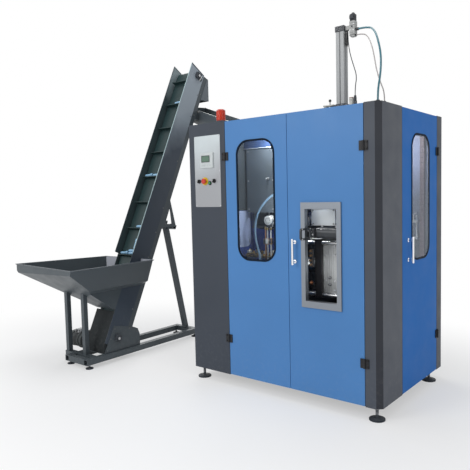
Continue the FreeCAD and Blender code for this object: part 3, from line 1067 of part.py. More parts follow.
# ---- unscrambler ------------------------------------------------------------------------------------
def unscrambler():
    """Folded trough with two bored end plates, two counter-turning rollers and the outlet slide."""
    wide, deep, skin = "sorter_width", "sorter_depth", "sorter_sheet"
    floor, far = f"(-{deep} + {skin})", f"({wide} - {skin})"
    trough = prism("trough_sheet", [("polygon", [
        (0, 0), (0, f"-{deep}"), (wide, f"-{deep}"), (wide, 0), (far, 0), (far, floor), (skin, floor), (skin, 0)])],
        f"sorter_length - 2 * {skin}", "side", at=(skin, 0, 0), frame="sorter")
    rows = [("front", f"({wide} / 2 - roller_spread / 2)"), ("rear", f"({wide} / 2 + roller_spread / 2)")]
    edge = ("polygon", [(0, 0), (0, f"-{deep}"), (wide, f"-{deep}"), (wide, 0)])
    bores = [("hole", y, "-roller_level", "stub_radius + pin_clearance") for label, y in rows]
    left, right = f"({wide} / 2 - slide_width / 2 + 4)", f"({wide} / 2 + slide_width / 2 - 4)"
    outlet = ("polygon", [(left, floor), (right, floor), (right, f"{floor} + 34"), (left, f"{floor} + 34")])
    ends = [prism("upper_end_plate", [edge, *bores], skin, "side", frame="sorter"),
            prism("lower_end_plate", [edge, *bores, outlet], skin, "side", at=(f"sorter_length - {skin}", 0, 0),
                  frame="sorter")]
    for label, y in rows:
        drum = cylinder(f"{label}_drum", ("3 * sorter_sheet", y, "-roller_level"), "roller_radius",
                        "sorter_length - 6 * sorter_sheet", "x", "sorter")
        stub = cylinder(f"{label}_stub", (0, y, "-roller_level"), "stub_radius", "sorter_length", "x", "sorter")
        node(f"{label}_roller", fuse(f"{label}_roller_turned", drum, stub))
    drive = box("roller_drive_box", ("-drive_box", 10, f"-{deep} + 15"),
                ("drive_box", f"{wide} - 20", f"{deep} - 30"), "sorter")
    slide = box("slide_outer", ("sorter_length + play", f"{wide} / 2 - slide_width / 2", "-slide_drop - 14"),
                ("slide_length", "slide_width", "slide_depth"), "sorter")
    groove = box("slide_inner", ("sorter_length - 1", f"{wide} / 2 - slide_width / 2 + sheet", "-slide_drop - 14 + sheet"),
                 ("slide_length + 4", "slide_width - 2 * sheet", "slide_depth"), "sorter")
    node("unscrambler_trough", trough, *ends, drive, cut("slide", slide, groove))
    beam = box("stand_beam", ("-stand_reach", "stand_y", "stand_level"), ("stand_reach", "stand_tube", "stand_tube"))
    post = box("stand_post", ("-stand_reach", "stand_y", "stand_level"),
               ("stand_tube", "stand_tube", "stand_height"))
    foot = box("stand_foot", (-8, "stand_y - 40", "stand_level - 80"), (8, "stand_tube + 80", "stand_tube + 100"))
    keep = box("stand_trim", ("-100", "-60", f"-{deep}"), ("sorter_length + 300", f"{wide} + 120", 600), "sorter")
    wedge = box("head_gusset", ("elevator_left + channel_width - gusset_long", "sorter_y - gusset_deep - 32",
                                "sorter_z - 2.5 * gusset_tall"), ("gusset_long", "gusset_deep", "gusset_tall"))
    channel = box("gusset_channel", (0, 0, 0), ("channel_width", "channel_depth", "plate_top"), "incline")
    beyond = box("gusset_trim", (-100, 0, f"-{deep} - 100"), ("sorter_length", 400, "sorter_depth + 300"), "sorter")
    node("unscrambler_stand", cut("stand", fuse("stand_weldment", beam, post, foot), keep),
         cut("gusset", wedge, channel, beyond))


# ---- hoses and cable: straight runs joined by tangent arcs ------------------------------------------
def hose(name, points, diameter):
    """A tube along straight runs joined by tangent arcs, skinned with cylinders and tori."""
    spots = [FreeCAD.Vector(*point) for point in points]
    section = Part.Circle(spots[0], spots[1] - spots[0], diameter / 2).toShape()
    faces = [Part.Face(Part.Wire([section]))]
    radii, length, here = [], 0, spots[0]
    for before, corner, after in zip(spots, spots[1:], spots[2:]):
        back, ahead = before - corner, after - corner
        reach = 0.45 * min(back.Length, ahead.Length)
        turn = math.pi - back.getAngle(ahead)
        radii.append(reach / math.tan(turn / 2))
        back.normalize(), ahead.normalize()
        start = corner + back * reach
        axis = back.cross(ahead).normalize()
        centre = start + axis.cross(back) * radii[-1]
        if (centre - corner).dot(back + ahead) < 0:
            centre = start - axis.cross(back) * radii[-1]
        faces.append(section.extrude(start - here).Faces[0])
        section = section.translated(start - here)
        bend = section.revolve(centre, axis * -1, math.degrees(turn))
        faces.append(bend.Faces[0])
        section = section.rotated(centre, axis * -1, math.degrees(turn))
        length += (start - here).Length + radii[-1] * turn
        here = corner + ahead * reach
    faces.append(section.extrude(spots[-1] - here).Faces[0])
    length += (spots[-1] - here).Length
    faces.append(Part.Face(Part.Wire([section.translated(spots[-1] - here)])))
    skin = Part.makeShell(faces)
    skin.sewShape()
    tube_solid = Part.makeSolid(skin if skin.ShapeType == "Shell" else skin.Shells[0])
    ideal = math.pi * diameter ** 2 / 4 * length
    print(name, "radii", [round(radius, 1) for radius in radii], "length", round(length, 1),
          "volume ratio", round(abs(tube_solid.Volume) / ideal, 4))
    feature = doc.addObject("Part::Feature", name + "_tube")
    feature.Shape = tube_solid
    node(name, feature)


# where each hose leaves and where it ends, and its route for the sizes above
roof_ends = {
    "air": ((f"{valve_x} + valve_width + 20", "station_y", cap_low),
            ("cabinet_width - 76", 140, f"{top} + gland_height")),
    "pilot": ((f"{valve_x} + valve_width + 5", "station_y", f"{cap_low} - 37"),
              ("cabinet_width - 52", 185, f"{top} + gland_height - 5")),
    "cable": (("station_x + 49", "station_y - 4", f"{cap_low} + 4"),
              ("station_x + 136", "station_y - 79", f"{top} + gland_height + 63")),
}
air_hose_route = [(1290, 300, 2520), (1360, 300, 2520), (1438, 222, 2466), (1492, 158, 2380),
                  (1527, 122, 2275), (1524, 120, 2165), (1496, 140, 2075), (1496, 140, 2010)]
pilot_tube_route = [(1275, 300, 2483), (1325, 300, 2483), (1382, 250, 2440), (1428, 204, 2368),
                    (1458, 176, 2285), (1476, 166, 2200), (1500, 172, 2120), (1520, 185, 2060),
                    (1520, 185, 2005)]
sensor_cable_route = [(1214, 296, 2524), (1214, 296, 2474), (1225, 286, 2410), (1248, 264, 2345),
                      (1286, 232, 2270), (1322, 206, 2192), (1301, 221, 2122), (1301, 221, 2073)]
blow_hose_route = [(790, 170, 1460), (720, 170, 1460), (640, 170, 1425), (565, 170, 1362), (512, 170, 1280),
                   (494, 170, 1195), (499, 170, 1105), (516, 170, 1040), (536, 170, 980), (536, 170, 925)]


def fitted(route, ends):
    """The route moved so that its ends lie on the ports: each point by its share of both shifts."""
    first, last = [FreeCAD.Vector(*(amount(text) for text in end)) for end in ends]
    spots = [FreeCAD.Vector(*point) for point in route]
    shifts = first - spots[0], last - spots[-1]
    share = [index / (len(spots) - 1) for index in range(len(spots))]
    return [spot + shifts[0] * (1 - part) + shifts[1] * part for spot, part in zip(spots, share)]


def hosesAndFittings():
    manifold_x = "(column_width + manifold_left)"
    blow_ends = (("hood_right - 78", "manifold_front + 60", "hood_bottom + 155"),
                 (f"{manifold_x} + manifold_width / 2", "manifold_front + 60",
                  "bed_top + manifold_height + manifold_port"))
    for name, route, ends, diameter in (
            ("air_hose", air_hose_route, roof_ends["air"], "hose_diameter"),
            ("pilot_tube", pilot_tube_route, roof_ends["pilot"], "pilot_diameter"),
            ("sensor_cable", sensor_cable_route, roof_ends["cable"], "cable_diameter"),
            ("blow_hose", blow_hose_route, blow_ends, "blow_hose_diameter")):
        hose(name, fitted(route, ends), amount(diameter))
    fittings = []
    for label, radius in (("air", 13), ("pilot", 9), ("cable", 8)):
        x, y, z = roof_ends[label][1]
        tall = f"{z} - {top}"
        fittings.append(turned(label + "_gland", [
            (0, 0), (radius + 4, 0), (radius + 4, 9), (radius, 9), (radius, tall), (0, tall)], (x, y, top)))
    right = f"({valve_x} + valve_width)"
    fittings.append(cylinder("air_port", (right, "station_y", cap_low), 10, 20, "x"))
    fittings.append(cylinder("pilot_port", (f"{right} - 3", "station_y", f"{cap_low} - 37"), 6, 8, "x"))
    block = box("manifold", (manifold_x, "manifold_front", "bed_top"),
                ("manifold_width", "manifold_depth", "manifold_height"))
    port = cylinder("manifold_nipple", (f"{manifold_x} + manifold_width / 2", "manifold_front + 60",
                                        "bed_top + manifold_height"), 12, "manifold_port")
    caps = [cylinder(f"manifold_coil_{i}", (f"{manifold_x} + {20 + 40 * i}", "manifold_front - 14",
                                            "bed_top + manifold_height - 80"), 14, 14, "y") for i in range(3)]
    elbow = box("hood_port", ("hood_right - 78", "manifold_front + 48", "hood_bottom + 143"),
                (24, "hood_front - manifold_front - 48", 24))
    node("hose_fittings", *fittings, block, port, *caps, elbow)


for build in (cabinetFrame, controlColumn, cornerPost, outerPanels, doors, controlPanel, controls, beacon, stretchCylinder, valve,
              machineTable, clamp, stretchUnit, takeoutArm, oven, elevator, boot, chute, hopper,
              rearSupport, gearmotor, unscrambler, hosesAndFittings):
    build()

doc.recompute()
for thing in doc.Objects:
    if "Invalid" in thing.State or "Error" in thing.State:
        raise RuntimeError(f"{thing.Name} failed: {thing.State}")
os.makedirs("parts", exist_ok=True)
for part in nodes:
    shape = part.Shape
    if shape.isNull() or not shape.isValid() or not shape.Solids:
        raise RuntimeError(f"{part.Label} has no valid solid")
for part in nodes:
    part.Shape.exportStep(f"parts/{part.Label}.step")
print(len(nodes), "nodes,", sum(len(part.Shape.Solids) for part in nodes), "solids")
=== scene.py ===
import math

import bmesh
import bpy
from mathutils import Matrix, Vector


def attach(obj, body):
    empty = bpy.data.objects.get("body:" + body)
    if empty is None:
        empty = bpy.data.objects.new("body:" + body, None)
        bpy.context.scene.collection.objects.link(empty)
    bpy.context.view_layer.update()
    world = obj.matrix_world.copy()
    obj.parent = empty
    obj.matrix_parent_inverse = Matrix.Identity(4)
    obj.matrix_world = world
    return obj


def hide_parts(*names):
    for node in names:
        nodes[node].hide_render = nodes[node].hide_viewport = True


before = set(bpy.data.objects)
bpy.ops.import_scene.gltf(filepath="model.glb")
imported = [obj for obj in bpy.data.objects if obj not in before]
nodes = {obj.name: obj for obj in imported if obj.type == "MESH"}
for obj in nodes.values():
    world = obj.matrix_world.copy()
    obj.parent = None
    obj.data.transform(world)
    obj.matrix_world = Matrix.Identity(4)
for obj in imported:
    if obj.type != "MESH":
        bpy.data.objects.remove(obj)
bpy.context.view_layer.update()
scene = bpy.context.scene
scene.view_settings.view_transform = "Standard"
print("frame loaded:", len(nodes), "nodes")

# Row frame: x to the right along the cabinet's front, y to its back, z up, metres.
# datum is where the cabinet's front-left corner lies on the floor.
datum = Vector((-0.050, -0.050, 0.0))


def spot(x, y, z):
    # millimetres from the cabinet's front-left corner on the floor
    return datum + Vector((x, y, z)) / 1000


def addObject(name, data):
    thing = bpy.data.objects.new(name, data)
    scene.collection.objects.link(thing)
    return thing


# camera solved from the cabinet's edges; its yaw turns from +y toward -x
cameraSettings = {
    "place": (2.933, -3.172, 1.439), "yaw": 39.2042, "pitch": -4.1381, "roll": 1.3726, "lens": 42.03,
    "sensorWidth": 36, "clipEnd": 60,
}


def makeCamera(s):
    yaw, pitch, roll = (math.radians(s[k]) for k in ("yaw", "pitch", "roll"))
    ahead = Vector((-math.sin(yaw) * math.cos(pitch), math.cos(yaw) * math.cos(pitch), math.sin(pitch)))
    right = Vector((math.cos(yaw), math.sin(yaw), 0))
    up = right.cross(ahead)
    across = right * math.cos(roll) - up * math.sin(roll)
    above = right * math.sin(roll) + up * math.cos(roll)
    data = bpy.data.cameras.new("photoCamera")
    data.lens = s["lens"]
    data.sensor_width = s["sensorWidth"]
    data.clip_end = s["clipEnd"]
    camera = addObject("photoCamera", data)
    turn = Matrix((across, above, -ahead)).transposed().to_4x4()
    camera.matrix_world = Matrix.Translation(s["place"]) @ turn
    scene.camera = camera


makeCamera(cameraSettings)

studio = {
    "floorHalf": 14,
    "floorColour": (0.90, 0.90, 0.90, 1),
    "floorRoughness": 0.9,
    "floorGloss": 0.1,
    "fadeScale": (0.72, 1.0, 0.0),      # the white ring reaches further to the sides than to the front
    "fadeShift": (0.0, -0.3, 0.0),
    "floorFade": (1.3, 2.8),     # metres from the middle at which the floor starts and ends turning white
    "floorWhite": 0.45,          # how white it already is under the machine
    "skyLight": (0.95, 0.97, 1.0, 1),
    "skyStrength": 0.50,
    "lamps": [  # name, place, aim, size, watts; the last six are small ones inside the cabinet
        ("frontLamp", (-1.6, -5.6, 4.2), (0.3, 0.2, 1.0), 3.2, 150),
        ("sideLamp", (6.0, -1.6, 3.4), (0.7, 0.5, 1.0), 2.6, 30),
        ("topLamp", (0.0, 0.6, 6.2), (0.0, 0.5, 0.0), 3.6, 90),
        ("rearLamp", (-4.6, 4.6, 4.0), (0.0, 0.8, 1.2), 2.6, 70),
        ("bayLamp", (0.62, 0.06, 1.90), (0.45, 0.16, 1.0), 0.08, 2.6),
        ("valveLamp", (0.72, 0.05, 1.42), (0.50, 0.16, 0.95), 0.05, 0.80),
        ("mouldLamp", (1.14, -0.035, 0.91), (1.05, 0.25, 0.92), 0.12, 0.25),
        ("guardLamp", (1.06, -0.015, 1.40), (1.09, 0.09, 1.20), 0.05, 0.10),
        ("rearBayLamp", (1.26, 0.70, 1.90), (1.33, 1.03, 1.15), 0.12, 2.6),
        ("rearLowLamp", (1.38, 0.62, 1.02), (1.35, 1.03, 1.10), 0.10, 0.65),
    ],
}


made = {}


def startMaterial(name):
    material = bpy.data.materials.new(name)
    material.use_nodes = True
    made[name] = material
    tree = material.node_tree
    return tree, tree.nodes["Principled BSDF"]


def feed(tree, node, inputs):
    # inputs take plain values or other nodes' outputs
    for key, value in inputs.items():
        if isinstance(value, bpy.types.NodeSocket):
            tree.links.new(value, node.inputs[key])
        else:
            node.inputs[key].default_value = value


def addNode(tree, kind, inputs, **settings):
    node = tree.nodes.new("ShaderNode" + kind)
    for key, value in settings.items():
        setattr(node, key, value)
    feed(tree, node, inputs)
    return node


def mathNode(tree, operation, first, second):
    return addNode(tree, "Math", {0: first, 1: second}, operation=operation).outputs[0]


def mixShaders(tree, share, first, second, out):
    mix = addNode(tree, "MixShader", {0: share, 1: first.outputs[0], 2: second.outputs[0]})
    feed(tree, out, {"Surface": mix.outputs[0]})


def seenDirectly(tree):
    # 1 for what the camera sees itself, in a gloss or through glass
    rays = addNode(tree, "LightPath", {}).outputs
    glossOrCamera = mathNode(tree, "MAXIMUM", rays["Is Camera Ray"], rays["Is Glossy Ray"])
    return mathNode(tree, "MAXIMUM", glossOrCamera, rays["Is Transmission Ray"])


def makeFloor(s):
    # pale floor that turns white away from the machine
    bm = bmesh.new()
    bmesh.ops.create_grid(bm, x_segments=2, y_segments=2, size=s["floorHalf"])
    mesh = bpy.data.meshes.new("studioFloor")
    bm.to_mesh(mesh)
    bm.free()
    addObject("studioFloor", mesh)
    tree, shader = startMaterial("paleFloor")
    mesh.materials.append(made["paleFloor"])
    feed(tree, shader, {"Base Color": s["floorColour"], "Roughness": s["floorRoughness"],
                        "Specular IOR Level": s["floorGloss"]})
    place = addNode(tree, "TexCoord", {}).outputs["Object"]
    squeeze = addNode(tree, "Mapping", {"Vector": place, "Scale": s["fadeScale"],
                                        "Location": s["fadeShift"]})
    far = addNode(tree, "VectorMath", {0: squeeze.outputs["Vector"]}, operation="LENGTH")
    fade = addNode(tree, "MapRange", {"Value": far.outputs["Value"], "From Min": s["floorFade"][0],
                                      "From Max": s["floorFade"][1], "To Min": s["floorWhite"]},
                   interpolation_type="SMOOTHSTEP")
    white = addNode(tree, "Emission", {"Color": (1, 1, 1, 1)})
    share = mathNode(tree, "MULTIPLY", fade.outputs["Result"], seenDirectly(tree))
    mixShaders(tree, share, shader, white, tree.nodes["Material Output"])


def makeSky(s):
    world = bpy.data.worlds.new("studioSky")
    scene.world = world
    world.use_nodes = True
    tree = world.node_tree
    tree.nodes.clear()
    lit = addNode(tree, "Background", {"Color": s["skyLight"], "Strength": s["skyStrength"]})
    seen = addNode(tree, "Background", {"Color": (1, 1, 1, 1)})
    mixShaders(tree, seenDirectly(tree), lit, seen, addNode(tree, "OutputWorld", {}))


def makeLamps(s):
    for name, place, aim, size, watts in s["lamps"]:
        data = bpy.data.lights.new(name, "AREA")
        data.shape = "SQUARE"
        data.size = size
        data.energy = watts
        lamp = addObject(name, data)
        lamp.location = place
        lamp.visible_camera = False
        lamp.rotation_euler = (Vector(aim) - Vector(place)).to_track_quat("-Z", "Y").to_euler()


makeFloor(studio)
makeSky(studio)
makeLamps(studio)
print("camera and studio ready")

dustColour = (0.45, 0.44, 0.42)


def tone(rgb, share=1):
    # a colour, darker or lighter by a share
    return (*[min(1, part * share) for part in rgb], 1)


def addNoise(tree, scale, detail, stretch=None):
    source = addNode(tree, "TexCoord", {}).outputs["Object"]
    if stretch:
        source = addNode(tree, "Mapping", {"Vector": source, "Scale": stretch}).outputs["Vector"]
    return addNode(tree, "TexNoise", {"Vector": source, "Scale": scale, "Detail": detail}).outputs["Fac"]


def spread(tree, source, low, high, fromLow=0.3, fromHigh=0.7):
    # a value carried over from one range to another
    inputs = {"Value": source, "From Min": fromLow, "From Max": fromHigh, "To Min": low, "To Max": high}
    return addNode(tree, "MapRange", inputs).outputs["Result"]


def mixColours(tree, share, first, second):
    node = addNode(tree, "Mix", {0: share}, data_type="RGBA")
    sockets = [number for number, socket in enumerate(node.inputs) if socket.type == "RGBA"]
    feed(tree, node, dict(zip(sockets, (first, second))))
    return [socket for socket in node.outputs if socket.type == "RGBA"][0]


def addBump(tree, shader, height, strength, distance):
    bump = addNode(tree, "Bump", {"Height": height, "Strength": strength, "Distance": distance})
    feed(tree, shader, {"Normal": bump.outputs["Normal"]})


def heightOf(tree):
    place = addNode(tree, "TexCoord", {}).outputs["Object"]
    return addNode(tree, "SeparateXYZ", {"Vector": place}).outputs["Z"]


def paintedLightByHeight(tree, base, top, low, high):
    # painted light: the finish turns toward a lighter top colour between two heights in metres, with an
    # uneven front
    wave = spread(tree, addNoise(tree, 2.6, 3), -0.12, 0.12)
    height = mathNode(tree, "ADD", heightOf(tree), wave)
    return mixColours(tree, spread(tree, height, 0.0, 1.0, low, high), base, tone(top))


def coatedSheet(name, colour, roughness, orangePeel, variation, dust=0.07, peelScale=260, specular=0.3,
                grade=None):
    # sprayed or powder-coated sheet metal: fine orange peel, faint cloudiness, dust low down
    tree, shader = startMaterial(name)
    cloud = spread(tree, addNoise(tree, 2.3, 3), 0, 1)
    base = mixColours(tree, cloud, tone(colour, 1 - variation), tone(colour, 1 + variation))
    speck = spread(tree, addNoise(tree, 38, 5), 0, 1, 0.5, 0.8)
    low = mathNode(tree, "MULTIPLY", spread(tree, heightOf(tree), 1.0, 0.0, 0.1, 0.55), speck)
    base = mixColours(tree, mathNode(tree, "MULTIPLY", low, dust), base, tone(dustColour))
    # painted light, lighter higher up, where it is given
    if grade:
        base = paintedLightByHeight(tree, base, *grade)
    rough = spread(tree, addNoise(tree, 9, 4), roughness - 0.05, roughness + 0.06)
    feed(tree, shader, {"Base Color": base, "Specular IOR Level": specular, "Roughness": rough})
    addBump(tree, shader, addNoise(tree, peelScale, 2), orangePeel, 0.0006)


def bareMetal(name, colour, roughness, stretch, grain, bump, tarnish=0.12, metallic=1.0, grade=None):
    # ground, brushed or drawn metal, with the grain along the axis that is stretched least
    tree, shader = startMaterial(name)
    lines = addNoise(tree, grain, 6, stretch)
    base = mixColours(tree, spread(tree, lines, 0, 1), tone(colour, 1 - tarnish), tone(colour))
    # painted light, lighter higher up, where it is given
    if grade:
        base = paintedLightByHeight(tree, base, *grade)
    rough = spread(tree, lines, roughness - 0.08, roughness + 0.1)
    feed(tree, shader, {"Base Color": base, "Roughness": rough, "Metallic": metallic})
    addBump(tree, shader, lines, bump, 0.0004)


def moulded(name, colour, roughness, grain, grainScale=420, variation=0.06, coat=0.0, transmission=0.0,
            specular=0.5):
    # moulded plastic or rubber: fine grain and small differences in gloss
    tree, shader = startMaterial(name)
    cloud = spread(tree, addNoise(tree, 24, 3), 0, 1)
    base = mixColours(tree, cloud, tone(colour, 1 - variation), tone(colour))
    rough = spread(tree, addNoise(tree, 60, 3), roughness - 0.06, roughness + 0.06)
    feed(tree, shader, {"Base Color": base, "Roughness": rough, "Coat Weight": coat,
                        "Transmission Weight": transmission, "Specular IOR Level": specular})
    addBump(tree, shader, addNoise(tree, grainScale, 2), grain, 0.0003)


def clearSheet(name, tint, haze):
    # window sheet: see-through with a gloss that grows toward the edge-on view, and a little haze
    tree, shader = startMaterial(name)
    rough = spread(tree, addNoise(tree, 7, 4), 0.02, 0.09)
    feed(tree, shader, {"Base Color": tone(tint), "Roughness": rough})
    through = addNode(tree, "BsdfTransparent", {"Color": (0.94, 0.96, 0.96, 1)})
    gloss = mathNode(tree, "POWER", addNode(tree, "LayerWeight", {}).outputs["Facing"], 4.0)
    film = spread(tree, addNoise(tree, 5, 5), haze * 0.4, haze * 1.6)
    mixShaders(tree, mathNode(tree, "ADD", gloss, film), through, shader, tree.nodes["Material Output"])


# materials
coats = {  # sprayed sheet: colour, roughness, orange peel, variation of tone, other settings
    # cabinet
    "bluePaint": ((0.078, 0.235, 0.53), 0.38, 0.14, 0.03),
    # the side door's blue is the front doors' paint made darker: painted shade on the side that faces away
    # from the front lamp
    "sideBlue": ((0.03, 0.168, 0.515), 0.5, 0.1, 0.02, {"specular": 0.06, "dust": 0.0}),
    "columnGrey": ((0.048, 0.058, 0.076), 0.5, 0.3, 0.06),
    "postGrey": ((0.072, 0.082, 0.102), 0.5, 0.3, 0.06),
    # darker grey for the corner post's slanted faces: painted shade
    "chamferGrey": ((0.028, 0.031, 0.04), 0.5, 0.3, 0.06),
    "frameGrey": ((0.06, 0.064, 0.072), 0.55, 0.25, 0.08),
    "blackPaint": ((0.018, 0.018, 0.02), 0.4, 0.2, 0.1),
    "castGrey": ((0.055, 0.062, 0.072), 0.55, 0.5, 0.1, {"peelScale": 120}),
    # inside the cabinet: linings, hood, drum and motor
    "lavenderWall": ((0.42, 0.5, 0.74), 0.5, 0.2, 0.05),
    "ovenGrey": ((0.104, 0.124, 0.146), 0.45, 0.2, 0.05),
    # the lining is a darker grey than the hood beside it: painted shade that evens out the extra light it
    # catches
    "liningGrey": ((0.064, 0.078, 0.092), 0.5, 0.2, 0.05),
    "headerBlue": ((0.06, 0.105, 0.235), 0.45, 0.2, 0.1),
    "deepBlue": ((0.034, 0.062, 0.25), 0.4, 0.2, 0.08),
    # rear wall inside: lighter lavender higher up, painted light falling on the wall
    "rearWall": ((0.1, 0.122, 0.15), 0.5, 0.2, 0.05, {"grade": ((0.36, 0.41, 0.62), 1.15, 1.62)}),
    "ductMaroon": ((0.2, 0.145, 0.17), 0.5, 0.1, 0.1),
    "satinPlate": ((0.6, 0.635, 0.65), 0.42, 0.05, 0.12),
    "armGrey": ((0.045, 0.05, 0.056), 0.3, 0.1, 0.2),
    "navyPaint": ((0.03, 0.038, 0.06), 0.4, 0.2, 0.08),
    "motorWhite": ((0.58, 0.59, 0.6), 0.35, 0.1, 0.03),
    "valveIvory": ((0.44, 0.445, 0.43), 0.4, 0.08, 0.04),
    # feeder: dark paint, lighter where its plates catch the light
    "feederPaint": ((0.077, 0.093, 0.104), 0.4, 0.1, 0.07),
    "feederShade": ((0.026, 0.03, 0.032), 0.6, 0.1, 0.07, {"specular": 0.15}),
    "plateSheen": ((0.052, 0.068, 0.092), 0.36, 0.06, 0.05, {"grade": ((0.33, 0.38, 0.43), 1.84, 2.24)}),
    "innerSheen": ((0.054, 0.08, 0.086), 0.36, 0.06, 0.08, {"grade": ((0.27, 0.33, 0.35), 2.44, 2.66)}),
    "hopperGleam": ((0.52, 0.54, 0.6), 0.4, 0.1, 0.12),
    # lighter paint of the hopper's rim, also laid as painted light on the chute's side that faces the light
    "rimPaint": ((0.135, 0.155, 0.175), 0.3, 0.08, 0.08),
    # pale rod along the elevator's near front edge: painted highlight
    "edgeMint": ((0.46, 0.6, 0.62), 0.34, 0.05, 0.1),
    "motorGrey": ((0.085, 0.094, 0.096), 0.5, 0.4, 0.1, {"peelScale": 120}),
}
metals = {  # bare metal: colour, roughness, stretch of the grain, its fineness and depth, other settings
    # control plate lighter toward its top: painted sheen
    "plateSilver": ((0.36, 0.37, 0.39), 0.42, (1, 1, 30), 90, 0.03,
                    {"tarnish": 0.05, "metallic": 0.6, "grade": ((0.52, 0.57, 0.59), 1.5, 1.86)}),
    "stainless": ((0.27, 0.295, 0.33), 0.36, (30, 30, 1), 50, 0.04, {"metallic": 0.8}),
    "chromed": ((0.86, 0.87, 0.88), 0.12, (1, 1, 4), 20, 0.01, {"tarnish": 0.04}),
    "zincPlate": ((0.55, 0.56, 0.58), 0.38, (3, 3, 1), 30, 0.05),
    "drawnAluminium": ((0.37, 0.38, 0.385), 0.5, (60, 60, 1), 30, 0.03, {"metallic": 0.25}),
    "milledAluminium": ((0.46, 0.475, 0.475), 0.42, (22, 22, 1), 12, 0.06,
                        {"tarnish": 0.45, "metallic": 0.5}),
    "groundSteel": ((0.56, 0.57, 0.58), 0.28, (1, 24, 24), 40, 0.04),
    "rollerSteel": ((0.5, 0.55, 0.53), 0.3, (1, 1, 1), 120, 0.03),
    "drawnDark": ((0.1, 0.1, 0.105), 0.3, (1, 20, 20), 40, 0.03),
    "dullScrew": ((0.2, 0.21, 0.22), 0.5, (3, 3, 1), 30, 0.03, {"metallic": 0.7}),
    "brassFitting": ((0.62, 0.44, 0.2), 0.3, (2, 2, 2), 60, 0.03),
    "agedBrass": ((0.34, 0.225, 0.13), 0.42, (2, 2, 2), 60, 0.03, {"tarnish": 0.3}),
    "copperPipe": ((0.5, 0.27, 0.16), 0.34, (3, 3, 1), 40, 0.03),
}
plastics = {  # plastic and rubber: colour, roughness, grain, other settings
    "gasketRubber": ((0.01, 0.017, 0.03), 0.6, 0.2, {"specular": 0.06}),
    "blackPlastic": ((0.018, 0.018, 0.02), 0.45, 0.2),
    "darkPlastic": ((0.035, 0.038, 0.045), 0.5, 0.2),
    "redPlastic": ((0.62, 0.03, 0.015), 0.28, 0.04, {"coat": 0.3}),
    "yellowPlastic": ((0.8, 0.52, 0.02), 0.35, 0.05),
    "greenPlastic": ((0.03, 0.3, 0.1), 0.3, 0.04),
    "bezelWhite": ((0.62, 0.66, 0.66), 0.4, 0.15),
    "displayGreen": ((0.105, 0.195, 0.135), 0.22, 0.02, {"variation": 0.14, "coat": 0.3}),
    "boneWhite": ((0.66, 0.66, 0.62), 0.4, 0.05),
    "rustRed": ((0.34, 0.13, 0.11), 0.4, 0.05),
    "beaconRed": ((0.86, 0.06, 0.018), 0.24, 0.02, {"coat": 0.15, "transmission": 0.15, "specular": 0.2}),
    "beaconDeep": ((0.6, 0.034, 0.012), 0.26, 0.03, {"coat": 0.15, "specular": 0.2}),
    "grooveShade": ((0.17, 0.175, 0.18), 0.6, 0.1),
    "beltGreen": ((0.013, 0.036, 0.038), 0.42, 0.25, {"grainScale": 300}),
    "preformBlue": ((0.3, 0.55, 0.78), 0.16, 0.02, {"coat": 0.5}),
    "frostedTube": ((0.8, 0.74, 0.66), 0.3, 0.05),
    "tealHose": ((0.05, 0.19, 0.24), 0.32, 0.04, {"coat": 0.2}),
    "greyTube": ((0.52, 0.48, 0.47), 0.3, 0.03, {"coat": 0.2}),
    "cableSheath": ((0.04, 0.048, 0.055), 0.5, 0.1),
    "blueHose": ((0.2, 0.33, 0.48), 0.3, 0.04, {"coat": 0.2}),
}
for table, makeFinish in ((coats, coatedSheet), (metals, bareMetal), (plastics, moulded)):
    for name, values in table.items():
        *plain, other = values if isinstance(values[-1], dict) else (*values, {})
        makeFinish(name, *plain, **other)
clearSheet("windowSheet", (0.30, 0.34, 0.40), 0.04)
print("materials made:", len(made))

# the carried-over solids by their finish
nodeFinish = {
    "frameGrey": "main_frame machine_table",
    "castGrey": "levelling_feet pulley_bearings",
    "columnGrey": "control_column cabinet_panels",
    "postGrey": "corner_post",
    "bluePaint": "left_door right_door",
    "sideBlue": "side_door",
    "windowSheet": "left_window side_window",
    "gasketRubber": "left_gasket side_gasket",
    "stainless": "opening_frame",
    "chromed": "right_door_handle side_door_handle",
    "blackPaint": "hinge_blocks",
    "plateSilver": "control_plate",
    "bezelWhite": "operator_panel",
    "blackPlastic": "switch_collars left_selector right_selector",
    "redPlastic": "stop_button",
    "greenPlastic": "start_button",
    "darkPlastic": "beacon_base",
    "beaconRed": "beacon_lens",
    "drawnAluminium": "stretch_cylinder",
    "valveIvory": "solenoid_valve",
    "groundSteel": "clamp_frame stretch_frame stretch_carriage drive_wheel idler_wheel mandrel_chain "
                   "tail_pulley head_pulley",
    "milledAluminium": "left_mould right_mould",
    "armGrey": "takeout_arm",
    "ovenGrey": "oven_hood",
    "frostedTube": "oven_lamps",
    "feederPaint": "elevator_plates elevator_covers boot_housing discharge_chute hopper feeder_base "
                   "rear_support unscrambler_trough unscrambler_stand",
    "beltGreen": "elevator_belt",
    "motorGrey": "gearmotor",
    "rollerSteel": "front_roller rear_roller",
    "tealHose": "air_hose",
    "greyTube": "pilot_tube",
    "cableSheath": "sensor_cable",
    "blueHose": "blow_hose",
    "brassFitting": "hose_fittings",
}
for finish, names in nodeFinish.items():
    for name in names.split():
        mesh = nodes[name].data
        mesh.materials.clear()
        mesh.materials.append(made[finish])


def repaint(name, finish, inside):
    # faces of a carried-over solid take another finish where their middle p, in millimetres, and their
    # outward direction n pass the test
    mesh = nodes[name].data
    mesh.materials.append(made[finish])
    number = len(mesh.materials) - 1
    for face in mesh.polygons:
        if inside((face.center - datum) * 1000, face.normal):
            face.material_index = number


